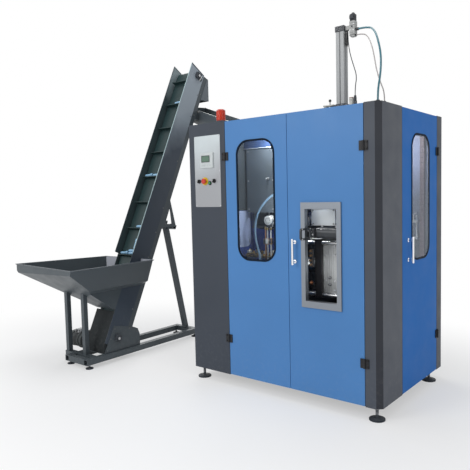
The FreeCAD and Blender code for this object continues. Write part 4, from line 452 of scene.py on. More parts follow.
repaint("stretch_cylinder", "darkPlastic", lambda p, n: p.z > 2520)      # upper end cap
repaint("stretch_cylinder", "navyPaint", lambda p, n: p.z < 2042.5)      # lower end cap and mount
repaint("solenoid_valve", "darkPlastic", lambda p, n: p.z > 2575.5)      # coil
repaint("switch_collars", "yellowPlastic", lambda p, n: abs(p.x - 157) < 31)    # round the stop button
repaint("left_mould", "blackPaint", lambda p, n: p.x < 1075.4 and (p.x < 1074.6 or p.y < 188))    # platen
repaint("right_mould", "blackPaint", lambda p, n: p.x > 1254.6 and (p.x > 1255.4 or p.y < 188))    # platen
# the corner post's slanted faces take the darker grey: painted shade
repaint("corner_post", "chamferGrey", lambda p, n: n.x > 0.6 and n.y < -0.6)
repaint("elevator_plates", "plateSheen", lambda p, n: p.x > -882 and n.x > 0.5)       # near plate, outside
repaint("elevator_plates", "innerSheen", lambda p, n: p.x < -1130 and n.x > 0.5)      # far plate, inside
repaint("elevator_covers", "feederShade", lambda p, n: p.z < 640)        # low down, in the hopper's shade
repaint("stretch_frame", "satinPlate", lambda p, n: 99 < p.y < 107 and 1221 < p.z < 1339)    # guard plate
# the chute's side that faces right is painted lighter: painted light
repaint("discharge_chute", "rimPaint", lambda p, n: n.x > 0.5)
repaint("machine_table", "motorWhite",                                   # oven's drive motor
        lambda p, n: 1000 < p.z < 1179 and math.hypot(p.x - 470, p.y - 450) < 60)
repaint("clamp_frame", "frameGrey", lambda p, n: p.x < 816 or p.x > 1514)    # clamp cylinders
repaint("left_door", "blackPaint", lambda p, n: p.y < -0.5)              # hinge leaves, here and below
repaint("right_door", "blackPaint", lambda p, n: p.y < -0.5)
repaint("side_door", "blackPaint", lambda p, n: p.x > 1572.5)
repaint("hose_fittings", "darkPlastic", lambda p, n: p.z > 1985)         # on the roof
repaint("hose_fittings", "blackPaint", lambda p, n: p.z < 1000)          # on the table
repaint("control_column", "deepBlue", lambda p, n: p.x > 355.5 and p.y > 26)    # its side in the bay
repaint("hopper", "hopperGleam", lambda p, n: n.y < -0.5 and p.y > 60)   # rear wall, inside
repaint("cabinet_panels", "rearWall", lambda p, n: 1070 < p.y < 1079.8 and 4 < p.x < 1568)    # inside
print("finishes set")


def finishMesh(name, bm, finish, body, smooth=35):
    # the finished piece on its body; finish is one name, or a list that the faces' numbers point into
    mesh = bpy.data.meshes.new(name)
    bmesh.ops.recalc_face_normals(bm, faces=bm.faces)
    bm.to_mesh(mesh)
    bm.free()
    for item in ([finish] if isinstance(finish, str) else finish):
        mesh.materials.append(made[item])
    piece = addObject(name, mesh)
    mesh.shade_smooth()
    mesh.set_sharp_from_angle(angle=math.radians(smooth))
    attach(piece, body)


def circle(bm, middle, side, over, radius, steps):
    # points round a middle, in the plane of two directions
    turns = [2 * math.pi * step / steps for step in range(steps)]
    return [bm.verts.new(middle + (side * math.cos(turn) + over * math.sin(turn)) * radius / 1000)
            for turn in turns]


def skin(bm, rings, steps, finish):
    # faces between rings of points; a ring may be one point
    for low, high in zip(rings, rings[1:]):
        for step in range(steps):
            after = (step + 1) % steps
            corners = list(dict.fromkeys((low[step % len(low)], low[after % len(low)],
                                          high[after % len(high)], high[step % len(high)])))
            if len(corners) > 2:
                bm.faces.new(corners).material_index = finish


def turnedForm(bm, at, along, profile, steps=32, finish=0):
    # round form about an axis, from (radius, distance) pairs in millimetres
    axis = Vector(along).normalized()
    side = axis.orthogonal().normalized()
    over = axis.cross(side)
    rings = []
    for radius, far in profile:
        middle = spot(*at) + axis * far / 1000
        pointed = radius < 0.01
        rings.append([bm.verts.new(middle)] if pointed else circle(bm, middle, side, over, radius, steps))
    skin(bm, rings, steps, finish)


def plateForm(bm, outline, at, across, up, thick, edge=0.0, finish=0):
    # flat form from an outline of (across, up) pairs, with softened rims
    across, up = Vector(across).normalized(), Vector(up).normalized()
    out = across.cross(up)
    front = [bm.verts.new(spot(*at) + (across * a + up * b) / 1000) for a, b in outline]
    back = [bm.verts.new(vert.co + out * thick / 1000) for vert in front]
    faces = [bm.faces.new(front), bm.faces.new(back)]
    for number in range(len(front)):
        after = (number + 1) % len(front)
        faces.append(bm.faces.new((front[number], front[after], back[after], back[number])))
    for face in faces:
        face.material_index = finish
    if edge:
        rims = list(faces[0].edges) + list(faces[1].edges)
        bmesh.ops.bevel(bm, geom=rims, offset=edge / 1000, segments=2, affect="EDGES", profile=0.5,
                        clamp_overlap=True)


def blockForm(bm, low, high, edge=1.0, finish=0):
    # block with softened edges between its lowest and highest corner
    corners = bmesh.ops.create_cube(bm, size=1)["verts"]
    for corner in corners:
        corner.co = spot(*[high[k] if corner.co[k] > 0 else low[k] for k in range(3)])
    for face in {face for corner in corners for face in corner.link_faces}:
        face.material_index = finish
    edges = list({line for corner in corners for line in corner.link_edges})
    bmesh.ops.bevel(bm, geom=edges, offset=edge / 1000, segments=2, affect="EDGES", profile=0.5,
                    clamp_overlap=True)


def rodForm(bm, path, radius, steps=12, finish=0):
    # round bar along a list of places in millimetres
    places = [spot(*place) for place in path]
    side = None
    rings = []
    for number, place in enumerate(places):
        before = places[max(number - 1, 0)]
        after = places[min(number + 1, len(places) - 1)]
        axis = (after - before).normalized()
        side = axis.orthogonal() if side is None else side - axis * side.dot(axis)
        side.normalize()
        rings.append(circle(bm, place, side, axis.cross(side), radius, steps))
    skin(bm, rings, steps, finish)
    for end in (rings[0], rings[-1]):
        bm.faces.new(end).material_index = finish


def discForm(bm, at, along, radius, high, steps=20, finish=0):
    turnedForm(bm, at, along, [(0, 0), (radius, 0), (radius, high), (0, high)], steps, finish)


# heads of screws for a head, or washer, of radius 1
hexHead = [(0, 0.18), (0.78, 0.18), (0.78, 0.62), (0.66, 0.74), (0, 0.74)]
socketHead = [(0, 0), (1, 0), (1, 0.7), (0.88, 0.82), (0.5, 0.82), (0.46, 0.35), (0, 0.35)]
domedHead = [(0, 0), (1, 0), (0.96, 0.16), (0.7, 0.36), (0.3, 0.44), (0.14, 0.3), (0, 0.26)]


def screwHead(bm, at, outward, size, profile, steps, finish):
    turnedForm(bm, at, outward, [(radius * size, far * size) for radius, far in profile], steps, finish)


def hexScrew(bm, at, outward, size, finish=0):
    # washer and hexagon head
    discForm(bm, at, outward, size, 0.18 * size, 20, finish)
    screwHead(bm, at, outward, size, hexHead, 6, finish)


def socketScrew(bm, at, outward, size, finish=0):
    # cap head with its sunk hexagon
    screwHead(bm, at, outward, size, socketHead, 18, finish)


def domedScrew(bm, at, outward, size, finish=0):
    # low round head as on sheet metal, with a dent in its middle
    screwHead(bm, at, outward, size, domedHead, 16, finish)


def roundedOutline(wide, tall, radius, steps=6):
    # rectangle with round corners, from its lower left corner
    outline = []
    for x, y, start in ((wide - radius, radius, -90), (wide - radius, tall - radius, 0),
                        (radius, tall - radius, 90), (radius, radius, 180)):
        for step in range(steps + 1):
            turn = math.radians(start + 90 * step / steps)
            outline.append((x + radius * math.cos(turn), y + radius * math.sin(turn)))
    return outline


def boxForm(bm, middle, half, edge=1.0, finish=0):
    # block from its middle and half sizes
    blockForm(bm, [a - b for a, b in zip(middle, half)], [a + b for a, b in zip(middle, half)], edge, finish)


def frontPlate(bm, low, size, corner, thick, edge=0.0, finish=0, steps=6):
    # upright plate with round corners, from its lower left corner toward the front
    plateForm(bm, roundedOutline(*size, corner, steps), low, (1, 0, 0), (0, 0, 1), thick, edge, finish)


def sidePlate(bm, low, size, corner, thick, edge=0.0, finish=0):
    # the same on a wall that faces right
    plateForm(bm, roundedOutline(*size, corner), low, (0, 1, 0), (0, 0, 1), thick, edge, finish)


def flatPlate(bm, low, size, corner, thick, edge=0.0, finish=0):
    # the same lying down
    plateForm(bm, roundedOutline(*size, corner), low, (1, 0, 0), (0, 1, 0), thick, edge, finish)


# kinds of form in a piece's settings: the first stand at a list of places, the others by themselves
placedForms = {
    "turned": turnedForm, "discs": discForm, "hexagons": hexScrew, "sockets": socketScrew,
    "domed": domedScrew, "boxes": boxForm, "frontPlates": frontPlate, "sidePlates": sidePlate,
    "flatPlates": flatPlate,
}
singleForms = {"blocks": blockForm, "rods": rodForm, "plates": plateForm}


def makePiece(name, s):
    # a piece from its settings: each kind of form there is a list of what its function takes
    bm = bmesh.new()
    for kind, form in placedForms.items():
        for places, *values in s.get(kind, ()):
            for place in places:
                form(bm, place, *values)
    for kind, form in singleForms.items():
        for values in s.get(kind, ()):
            form(bm, *values)
    finishMesh(name, bm, s["finish"], s.get("body", "machine"), s.get("smooth", 35))


def grid(*parts):
    # all places with these x, y and z; each is one number or several
    xs, ys, zs = [(part,) if isinstance(part, (int, float)) else part for part in parts]
    return [(x, y, z) for x in xs for y in ys for z in zs]


def ring(middle, axis, count, radius, start=0):
    # places spread evenly round an x, y or z axis, the first at the start angle in degrees
    x, y, z = middle
    places = []
    for number in range(count):
        turn = math.radians(start + 360 * number / count)
        a, b = radius * math.cos(turn), radius * math.sin(turn)
        places.append({"x": (x, y + a, z + b), "y": (x + a, y, z + b), "z": (x + a, y + b, z)}[axis])
    return places


toFront, toRear, toLeft, toRight = (0, -1, 0), (0, 1, 0), (-1, 0, 0), (1, 0, 0)
upward, downward = (0, 0, 1), (0, 0, -1)

# the elevator's slope, and where its lower edge meets the floor
feederSlope = math.radians(65)
feederFoot = -299
feederUp = (0, math.cos(feederSlope), math.sin(feederSlope))


def alongFeeder(x, along, depth):
    # a place on the elevator: along its slope and square into its channel, in millimetres
    return (x, feederFoot + along * math.cos(feederSlope) + depth * math.sin(feederSlope),
            along * math.sin(feederSlope) - depth * math.cos(feederSlope))


# control panel: screen with six keys, screws, marks on the selectors and rims of the switches
screen = {
    "finish": ["darkPlastic", "displayGreen", "bezelWhite"], "slot": "plastic_black",
    "frontPlates": [(grid(117, -2, 1648), (131, 118), 6, 2.4, 0.6, 2),
                    (grid(132, -10.6, 1693), (83, 51), 3, 1.4, 0.4, 0),
                    (grid(137, -12, 1698), (73, 41), 1.5, 0.3, 0, 1),
                    (grid([131 + 17.5 * key for key in range(6)], -10, 1666), (12, 8), 2.5, 0.9, 0.3, 2, 4)],
}
makePiece("operatorDisplay", screen)

controlPlateScrews = {
    "finish": "zincPlate", "slot": "zinc",
    "domed": [(grid((63, 304), -2, (1364, 1624, 1884)), toFront, 4.2)],
}
makePiece("controlPlateScrews", controlPlateScrews)

knobMarks = {"left": 98, "right": 250}
for side, x in knobMarks.items():
    makePiece(side + "KnobMark", {
        "finish": "boneWhite", "slot": "plastic_black", "body": side + "_selector",
        "blocks": [((x - 1.1, -24.7, 1550), (x + 1.1, -23.5, 1561.5), 0.2)]})

collarKnurls = {
    "finish": "blackPlastic", "slot": "plastic_black",
    "discs": [(ring((x, -6, z), "y", 28, 15), toRear, 1.1, 3.6, 6)
              for x, z in ((98, 1551), (250, 1551), (206, 1536))],
}
makePiece("collarKnurls", collarKnurls)

stopRim = {
    "finish": "redPlastic", "slot": "plastic_red", "body": "stop_button",
    "turned": [(grid(157, -24.5, 1551), toRear, [(19.4, 0), (20.7, 1), (20.7, 3.5), (19.4, 4.5)], 40)],
}
makePiece("stopButtonRim", stopRim)

hingeLevels = (345, 385, 1705, 1745)
hingeScrews = {
    "machine": [(grid((340, 1486), -6, hingeLevels), toFront, 5),
                (grid(1578, 1003, hingeLevels), toRight, 5)],
    "left_door": [(grid(361, -6, hingeLevels), toFront, 5)],
    "right_door": [(grid(1465, -6, hingeLevels), toFront, 5)],
    "side_door": [(grid(1578, 982, hingeLevels), toRight, 5)],
}
for body, sockets in hingeScrews.items():
    name = "hingeScrews" + "".join(part.capitalize() for part in body.split("_"))
    makePiece(name, {"finish": "blackPaint", "slot": "hinge_black", "body": body, "sockets": sockets})

# roof: cylinder with fine lines round its end caps and dark strips in the clamp grooves of its tube
capLevels = (2529, 2538, 2547, 2023.25, 2029.5, 2035.75)
cylinderScrews = {
    "finish": ["zincPlate", "castGrey"], "slot": "aluminium",
    "sockets": [(grid((1141, 1189), (276, 324), 2556), upward, 5.2),
                (grid((1141, 1189), (276, 324), 2017), downward, 4)],
    "hexagons": [(grid((1102, 1228), (237, 363), 2017), upward, 8)],
    "boxes": [(grid(1165, (267, 333), capLevels), (33, 0.6, 1), 0.3, 1),
              (grid((1132, 1198), 300, capLevels), (0.6, 33, 1), 0.3, 1)],
}
makePiece("cylinderScrews", cylinderScrews)

cylinderGrooves = {
    "finish": "grooveShade", "slot": "aluminium",
    "boxes": [(ring((1165, 300, 2281), "z", 4, 25.7), (3.2, 3.2, 238), 0.6)],
}
makePiece("cylinderGrooves", cylinderGrooves)

positionSensor = {
    "finish": "blackPlastic", "slot": "plastic_black",
    "blocks": [((1199, 286, 2430), (1213, 306, 2508), 2), ((1201, 283, 2448), (1211, 287, 2476), 1)],
    "turned": [(grid(1207, 296, 2430), downward, [(0, 0), (5.5, 0), (5.5, 8), (4, 12), (0, 12)], 20)],
}
makePiece("positionSensor", positionSensor)

# valve: joints of its stacked body, and cooling rings of its coil
valveJoints = {
    "finish": ["zincPlate", "castGrey"], "slot": "zinc",
    "boxes": [(grid(1251, 300, (2484, 2500, 2532, 2548, 2562)), (19.8, 20.8, 0.8), 0.3, 1)],
    "sockets": [(grid((1238, 1264), 280, (2516, 2556)), toFront, 3)],
    "turned": [(grid(1251, 280, 2540), toFront, [(0, 0), (5, 0), (5, 3), (3.6, 4.2), (0, 4.2)], 20, 1)],
}
makePiece("valveJoints", valveJoints)

coilRings = {
    "finish": "castGrey", "slot": "plastic_black",
    "flatPlates": [(grid(1234.5, 280.5, range(2580, 2618, 5)), (33, 39), 4, 2, 0.4)],
    "blocks": [((1238, 268, 2586), (1264, 283, 2610), 2)],
    "turned": [(grid(1251, 300, 2621), upward, [(13, 0), (13, 4), (10, 7), (6, 8), (6, 9.4), (0, 9.4)], 24)],
}
makePiece("valveCoilRings", coilRings)

gland = {
    "finish": ["boneWhite", "rustRed", "castGrey"], "slot": "plastic_black",
    "turned": [(grid(1301, 221, 1985), upward, [
        (0, 0), (14, 0), (14, 5), (11, 7), (11, 52), (9.5, 60), (9.5, 76), (7, 84), (4.2, 88),
        (3.4, 88)], 28, 2)],
    "boxes": [(ring((1301, 221, 2028), "z", 6, 11), (2, 2, 6), 0.6, 2),
              (grid(1272, 213.9, (2041.2, 2049.2)), (9, 1.1, 1.2), 0.5, 2)],
    "flatPlates": [(grid(1259.5, 213.5, 1985), (25, 25), 4, 74, 1.5, 0),
                   (grid(1259, 213, 2059), (26, 26), 4, 6, 1, 1)],
}
makePiece("cableGland", gland)

knobPlate = {
    "finish": "boneWhite", "slot": "zinc",
    "flatPlates": [(grid(1030, 268, 2036), (82, 62), 6, 8, 1)],
    "turned": [(grid((1040, 1082), (278, 320), 1985), upward, [
        (0, 0), (7, 0), (7, 4), (4, 5), (4, 51), (0, 51)], 16)],
    "domed": [(grid((1040, 1082), (278, 320), 2044), upward, 4)],
}
makePiece("knobPlate", knobPlate)

regulatorKnob = {
    "finish": "motorGrey", "slot": "plastic_black",
    "turned": [(grid(1075, 292, 2044), upward, [
        (0, 0), (7, 0), (7, 3), (3, 5), (3, 20), (6, 22), (9, 26), (9.5, 32), (8, 37), (4, 40),
        (0, 41)], 28)],
}
makePiece("regulatorKnob", regulatorKnob)

beaconRibs = {
    "finish": "beaconDeep", "slot": "beacon_red",
    "turned": [(ring((202, 150, 2020), "z", 18, 34.1), upward, [
                   (0, 0), (1.5, 1), (1.5, 66), (0.6, 70), (0, 70)], 8),
               (grid(202, 150, (2017, 2092)), upward, [
                   (34.2, 0), (35.6, 0.8), (35.6, 2.6), (34.2, 3.4)], 48)],
}
makePiece("beaconRibs", beaconRibs)
print("control panel and roof dressed")

# what the side window shows on the rear panel: cable duct with clips, guide rod with holders and handle
duct = {
    "finish": ["ductMaroon", "darkPlastic"], "slot": "panel_metal",
    "blocks": [((1418, 1053, 300), (1452, 1079, 1880), 2)],
    "boxes": [([(1435, 1061.5, z + 2.5) for z in range(330, 1870, 40)], (18, 9.5, 2.5), 0.8, 1)],
}
makePiece("rearDuct", duct)

rearGuide = {
    "finish": "motorWhite", "slot": "steel",
    "turned": [(grid(1396, 1046, 1066), upward, [(0, 0), (7, 0), (7, 186), (4, 190), (0, 190)], 20),
               (grid(1396, 1033, 1206), toFront, [
                   (0, 0), (12, 0), (12, 6), (7, 8), (7, 22), (10, 24), (10, 30), (0, 31)], 20)],
    "boxes": [(grid(1396, 1056, (1082, 1206)), (13, 23, 10), 3)],
    "sockets": [(grid(1404, 1033, (1082, 1206)), toFront, 3.5)],
    "rods": [([(1374, 1040, 1216), (1374, 1040, 1252), (1380, 1042, 1266), (1396, 1046, 1270)], 4, 12)],
    "blocks": [((1366, 1030, 1194), (1384, 1079, 1218), 3)],
}
makePiece("rearGuide", rearGuide)

# left bay as it is seen through the window; the first lining has its two lower corners rounded
bayTurns = [math.radians(15 * step) for step in range(7)]
bayLining = {
    "finish": ["lavenderWall", "zincPlate"], "slot": "frame_paint",
    "plates": [([(132 + 46 * math.sin(turn), 46 - 46 * math.cos(turn)) for turn in bayTurns]
                + [(178, 278), (0, 278), (0, 46)]
                + [(46 - 46 * math.cos(turn), 46 - 46 * math.sin(turn)) for turn in bayTurns[1:]],
                (359.4, 110, 1040), toRear, upward, 4, 1)],
    "domed": [(grid(363.4, (134, 264), (1080, 1294)), toRight, 6, 1)],
}
makePiece("bayLining", bayLining)

bayPost = {
    "finish": "deepBlue", "slot": "frame_paint",
    "sidePlates": [(grid(359.4, 60, 668), (262, 396), 10, 3, 0.8)],
    "blocks": [((372, 300, 672), (404, 332, 1178), 4)],
    "boxes": [(grid(388, 316, (700, 1150)), (22, 22, 6), 2)],
    "frontPlates": [(grid(404, 292, 668), (336, 508), 6, -3, 0.8)],
}
makePiece("bayPost", bayPost)

# upper lining in the darker grey: painted shade
upperLining = {
    "finish": "liningGrey", "slot": "panel_metal",
    "sidePlates": [(grid(359.4, 20, 1322), (310, 650), 5, 3, 0.8)],
}
makePiece("upperLining", upperLining)

hoodHeader = {
    "finish": ["headerBlue", "motorWhite"], "slot": "frame_paint",
    "frontPlates": [(grid(364, 224, 1786), (504, 182), 4, -3, 0.8)],
    "blocks": [((364, 215, 1785), (868, 225, 1793), 1.5, 1)],
}
makePiece("hoodHeader", hoodHeader)

bayMotor = {
    "finish": ["motorWhite", "castGrey"], "slot": "cast_iron",
    "turned": [(grid(598, 188, 1246), toRear, [
        (0, 0), (29, 0), (34, 3), (37, 9), (37, 20), (34, 22), (34, 28), (37, 30), (37, 92),
        (33, 97), (0, 97)], 40)],
    "rods": [([(x, 220, z), (x, 276, z)], 1.3, 6) for x, y, z in ring((598, 188, 1246), "y", 20, 37.4)],
    "discs": [(ring((598, 187.7, 1246), "y", 10, 19), toRear, 3.6, 1, 12, 1)],
    "blocks": [((578, 222, 1197), (618, 264, 1215), 2, 1), ((568, 285, 1206), (628, 300, 1299), 1.5, 1)],
}
makePiece("bayMotor", bayMotor)

valveBank = {
    "finish": ["brassFitting", "zincPlate", "castGrey", "boneWhite"],
    "rail": ((362, 238, 946), (700, 252, 960)), "railPost": ((686, 238, 668), (700, 252, 946)),
    "left": 384, "step": 39, "count": 8, "front": 216, "middle": 245, "low": 960,
    "heights": (52, 38, 60, 44), "lowerFinishes": (0, 2, 0, 3), "upperFinishes": (3, 0, 1, 0),
    "outlet": [(0, 0), (6, 0), (6, 5), (4.4, 6), (4.4, 12), (5.2, 13), (5.2, 16), (0, 16)],
    "top": [(0, 0), (7, 0), (7, 5), (4, 7), (4, 12), (0, 12)],
}


def makeValveBank(s):
    # valves of several sizes side by side on the rail
    blocks = [(*s["rail"], 1, 1), (*s["railPost"], 1, 1)]
    turned = []
    for number in range(s["count"]):
        x, y, low = s["left"] + number * s["step"], s["front"], s["low"]
        tall = s["heights"][number % 4]
        joint = low + tall * 0.6
        blocks += [((x - 14, y, low), (x + 14, y + 50, joint), 1.5, s["lowerFinishes"][number % 4]),
                   ((x - 10, y + 4, joint), (x + 10, y + 44, low + tall), 1.5,
                    s["upperFinishes"][number % 4])]
        turned += [(grid((x - 6.5, x + 6.5), y, low + tall * 0.32), toFront, s["outlet"], 16),
                   (grid(x, s["middle"], low + tall), upward, s["top"], 6)]
    makePiece("bayValves", {"finish": s["finish"], "slot": "brass", "blocks": blocks, "turned": turned})


makeValveBank(valveBank)

pipeSettings = {
    "finish": ["copperPipe", "brassFitting", "zincPlate", "motorWhite", "castGrey"],
    "pipes": ((560, 214, 905, 1200, 0, 4), (584, 206, 905, 1196, 2, 3), (610, 212, 905, 1196, 3, 4)),
    "nut": [(0, 0), (10, 0), (10, 8), (8, 10), (8, 18), (0, 18)],
}


def makePipes(s):
    # upright pipes with a block, three nuts and a bent lead to the rail each
    parts = {"finish": s["finish"], "slot": "brass", "rods": [], "blocks": [], "turned": []}
    for x, y, low, high, finish, blockFinish in s["pipes"]:
        parts["rods"] += [([(x, y, low), (x, y, high)], 6, 16, finish),
                          ([(x, y, low + 4), (x, y + 34, low + 4), (x - 20, 234, low + 42)], 4.5, 12, 2)]
        lift = low + 92 + x / 8
        parts["blocks"].append(((x - 13, y - 13, lift), (x + 13, y + 13, lift + 40), 2, blockFinish))
        nuts = grid(x, y, (low, (low + high) / 2 + x / 40, high - 22))
        parts["turned"].append((nuts, upward, s["nut"], 6, 1))
    makePiece("bayPipes", parts)


makePipes(pipeSettings)

hoodScrews = {
    "finish": "zincPlate", "slot": "zinc",
    "turned": [(grid(584, 222, 1556), toFront, [
        (0, 0), (11, 0), (11, 2.5), (5, 4), (5, 12), (8, 15), (9, 20), (7, 24), (0, 25)], 28)],
    "domed": [(grid((402, 626, 851), 222, (1330, 1545, 1766)), toFront, 5)],
}
makePiece("hoodScrews", hoodScrews)
print("left bay dressed")

# front opening: bands and screws of the take-out arm, guard plate and mould faces
armDetails = {
    "finish": ["drawnDark", "zincPlate", "motorWhite"], "slot": "arm_black", "body": "takeout_arm",
    "turned": [(grid((1090, 1254), 88, 1174), toRight, [(37, 0), (39.2, 0.8), (39.2, 5.2), (37, 6)], 40),
               (grid((1128, 1219), 88, 1174), toRight, [(37, 0), (39.2, 0.8), (39.2, 2.2), (37, 3)], 40),
               (grid((1120, 1225), 88, 1212), upward, [
                   (0, 0), (8, 0), (8, 3), (5, 4), (5, 10), (6.5, 11), (6.5, 15), (0, 15)], 20, 2)],
    "sockets": [(ring((1088, 88, 1174), "x", 4, 26, 45), toLeft, 4, 1),
                (grid(1058, (-84, 14), (1141.5, 1206.5)), toLeft, 4.4, 2),
                (grid(1070, (-84, 14), (1141.5, 1206.5)), toRight, 4.4, 2)],
    "blocks": [((1072, 34, 1197), (1084, 80, 1204), 1.5, 1)],
    "hexagons": [(grid(1065, 30, 1184), toFront, 7, 2), (grid(1079, 30, 1166), toFront, 6, 2)],
}
makePiece("armDetails", armDetails)

guardScrews = {
    "finish": "drawnAluminium", "slot": "aluminium",
    "hexagons": [(grid((1042, 1198), 100, (1234, 1326)), toFront, 6.5)],
    "boxes": [(grid(1120, 97, (1222.8, 1337.2)), (90, 4, 1.2), 0.5)],
}
makePiece("guardScrews", guardScrews)

mouldFaces = {
    "left": 1120, "right": 1210, "connector": [
        (0, 0), (11, 0), (11, 7), (8, 9), (8, 15), (6, 16), (6, 20), (7, 22), (5.5, 25), (7, 27),
        (5.5, 30), (0, 30)],
}
for side in ("left", "right"):
    x = mouldFaces[side]
    makePiece("mouldDetails" + side.capitalize(), {
        "finish": ["zincPlate", "dullScrew"], "slot": "steel", "body": side + "_mould",
        "sockets": [(grid((x - 35, x + 35), 190, (775, 835, 1015, 1075)), toFront, 7)],
        "turned": [(grid(x, 190, (812, 858)), toFront, mouldFaces["connector"], 20, 1)],
        "boxes": [(grid(x, 189, (751, 1101)), (41, 2, 3), 1),
                  (grid([x + 17.5 * line for line in range(-2, 3)], 189.8, 926), (0.9, 0.6, 168), 0.3)]})

waterOutlet = [(0, 0), (9, 0), (9, 6), (6.5, 7), (6.5, 12), (8, 13), (8, 18), (5, 20), (5, 26), (0, 26)]
waterBlock = {
    "finish": ["agedBrass", "castGrey", "gasketRubber", "copperPipe"], "slot": "brass", "body": "left_mould",
    "blocks": [((993, 128, 930), (1019, 150.5, 1056), 2, 1)],
    "turned": [(grid(1006, 128, (948, 1012)), toFront, waterOutlet, 20),
               (grid(1006, 128, (980, 1044)), toFront, waterOutlet, 6),
               (grid(994, 150, 818), toFront, [
                   (0, 0), (16, 0), (16, 5), (9, 7), (9, 22), (7, 24), (0, 24)], 24, 3)],
    "rods": [([(1003, 104, 950), (1000, 98, 910), (994, 104, 860), (986, 136, 826), (980, 149, 820)],
              5, 12, 2)],
}
makePiece("waterBlock", waterBlock)
print("front opening dressed")

# elevator: rods along its plate edges, the near plate's pale front one a painted highlight and its dark top
# one a painted shade, and screws of its plates and four bearing blocks
litAndShadedEdgeRods = {
    "finish": ["edgeMint", "gasketRubber", "feederPaint"], "slot": "feeder_paint",
    "rods": [([alongFeeder(x, *first), alongFeeder(x, *last)], radius, steps, finish)
             for x, first, last, radius, steps, finish in (
                 # near plate's front edge: painted highlight
                 (-881.5, (1040, 1), (3061.5, 1), 3.6, 12, 0),
                 # near plate's top edge, dark: painted shade under an out-turned fold
                 (-881.5, (3065.5, 2), (3043.5, 198), 4.5, 12, 1),
                 (-1133.5, (1042, 1), (3063.5, 1), 3.5, 10, 2),
                 (-1133.5, (3065.5, 2), (3043.5, 198), 3.5, 10, 2))],
}
makePiece("elevatorLitAndShadedEdges", litAndShadedEdgeRods)

bearingBolts = [(along + a, 119 + b) for along in (275, 2989.9) for a in (-24, 24) for b in (-24, 24)]
shaftEnd = [(0, 0), (19, 0), (19, 3), (14, 4), (14, 1.5), (0, 1.5)]
elevatorScrews = {
    "finish": ["dullScrew", "castGrey", "feederPaint"], "slot": "zinc",
    "domed": [([alongFeeder(x, 560 + 250 * number, 190) for number in range(10)], outward, 6)
              for x, outward in ((-880, toRight), (-1135, toLeft))],
    "hexagons": [([alongFeeder(x, along, 226) for along in (2600, 2840)], outward, 8)
                 for x, outward in ((-883, toRight), (-1132, toLeft))]
    + [([alongFeeder(x, *place) for place in bearingBolts], outward, 5.5, 2)
       for x, outward in ((-853, toRight), (-1162, toLeft))],
    "turned": [([alongFeeder(x, along, 119) for along in (275, 2989.9)], outward, shaftEnd, 28, 1)
               for x, outward in ((-853, toRight), (-1162, toLeft))],
}
makePiece("elevatorScrews", elevatorScrews)

# belt: each cleat's foot and ribs, and the fabric joints of the belt's face
cleats = [489 + 2402.9 * number / 9 for number in range(10)]
beltRibs = {
    "finish": "beltGreen", "slot": "belt_green",
    "rods": [([alongFeeder(-1119, along, 66), alongFeeder(-896, along, 66)], 4, 8) for along in cleats]
    + [([alongFeeder(x, along - 6, 69), alongFeeder(x, along - 2, 40)], 2.5, 6)
       for along in cleats for x in range(-1105, -895, 42)]
    + [([alongFeeder(-1118, along, 70.4), alongFeeder(-897, along, 70.4)], 0.7, 5)
       for along in range(520, 2960, 30)],
}
makePiece("beltRibs", beltRibs)

preforms = {  # direction, and the preforms as cleat, x, distance ahead of it and depth
    "carried": ((1, 0.06, 0.05), ((2, -1000, 22, 52), (2, -1110, 22, 52), (3, -1004, 22, 52),
                                  (5, -1002, 22, 52), (5, -1108, 22, 52), (8, -1010, 22, 52),
                                  (2, -1012, 48, 54))),
    "leaning": (feederUp, ((2, -902, 65, 46), (2, -938, 65, 50))),
}
preformShape = [(0, 0), (7, 1), (11.5, 6), (12.5, 14), (12.5, 72), (13.5, 76), (17, 77.5), (17, 80),
                (14, 81.5), (14, 86), (15, 87), (15, 90), (14, 91), (14, 98), (11, 98), (11, 60)]
for name, (direction, rows) in preforms.items():
    places = [alongFeeder(x, cleats[number] + ahead, depth) for number, x, ahead, depth in rows]
    makePiece(name + "Preforms", {"finish": "preformBlue", "slot": "lamp_glass", "smooth": 40,
                                  "turned": [(places, direction, preformShape, 20)]})

# hopper: rolled rim, open where the elevator stands, with rounded corners
rimPath = [(-876, 236, 874), (-717, 233, 872), (-717, -633, 872), (-1623, -579, 872), (-1391, 233, 872),
           (-1139, 236, 874)]
hopperRim = {
    "finish": "rimPaint", "slot": "feeder_paint",
    "rods": [(ends, 4.6) for ends in zip(rimPath, rimPath[1:])],
    "turned": [([(x, y, z - 5) for x, y, z in rimPath[1:5]], upward, [
        (0, 0), (4, 0.6), (5.4, 5), (4, 9.4), (0, 10)], 16)],
}
makePiece("hopperRim", hopperRim)

# feeder's drive: motor fins, dark discs as painted shade in the openings of the fan cover, terminal box with
# its inlet
drive = {
    "finish": ["motorGrey", "dullScrew", "blackPlastic", "motorWhite"], "slot": "cast_iron",
    "rods": [([(-1214, y, z), (-1312, y, z)], 3.2, 6) for x, y, z in ring((0, -195, 165), "x", 28, 67)],
    # dark discs on the fan cover: painted shade in its openings
    "discs": [(ring((-1355.3, -195, 165), "x", 12, 38), toRight, 6.5, 1, 14, 2)],
    "hexagons": [(ring((-1200, -195, 165), "x", 4, 62, 45), toLeft, 6, 1)],
    "blocks": [((-1290, -229, 225), (-1226, -161, 257), 4, 3)],
    "turned": [(grid(-1258, -229, 243), toFront, [(0, 0), (9, 0), (9, 6), (7, 8), (7, 14), (0, 14)], 6, 2)],
    "domed": [(grid((-1282, -1234), (-219, -171), 257), upward, 4, 1)],
}
makePiece("feederDriveDetails", drive)

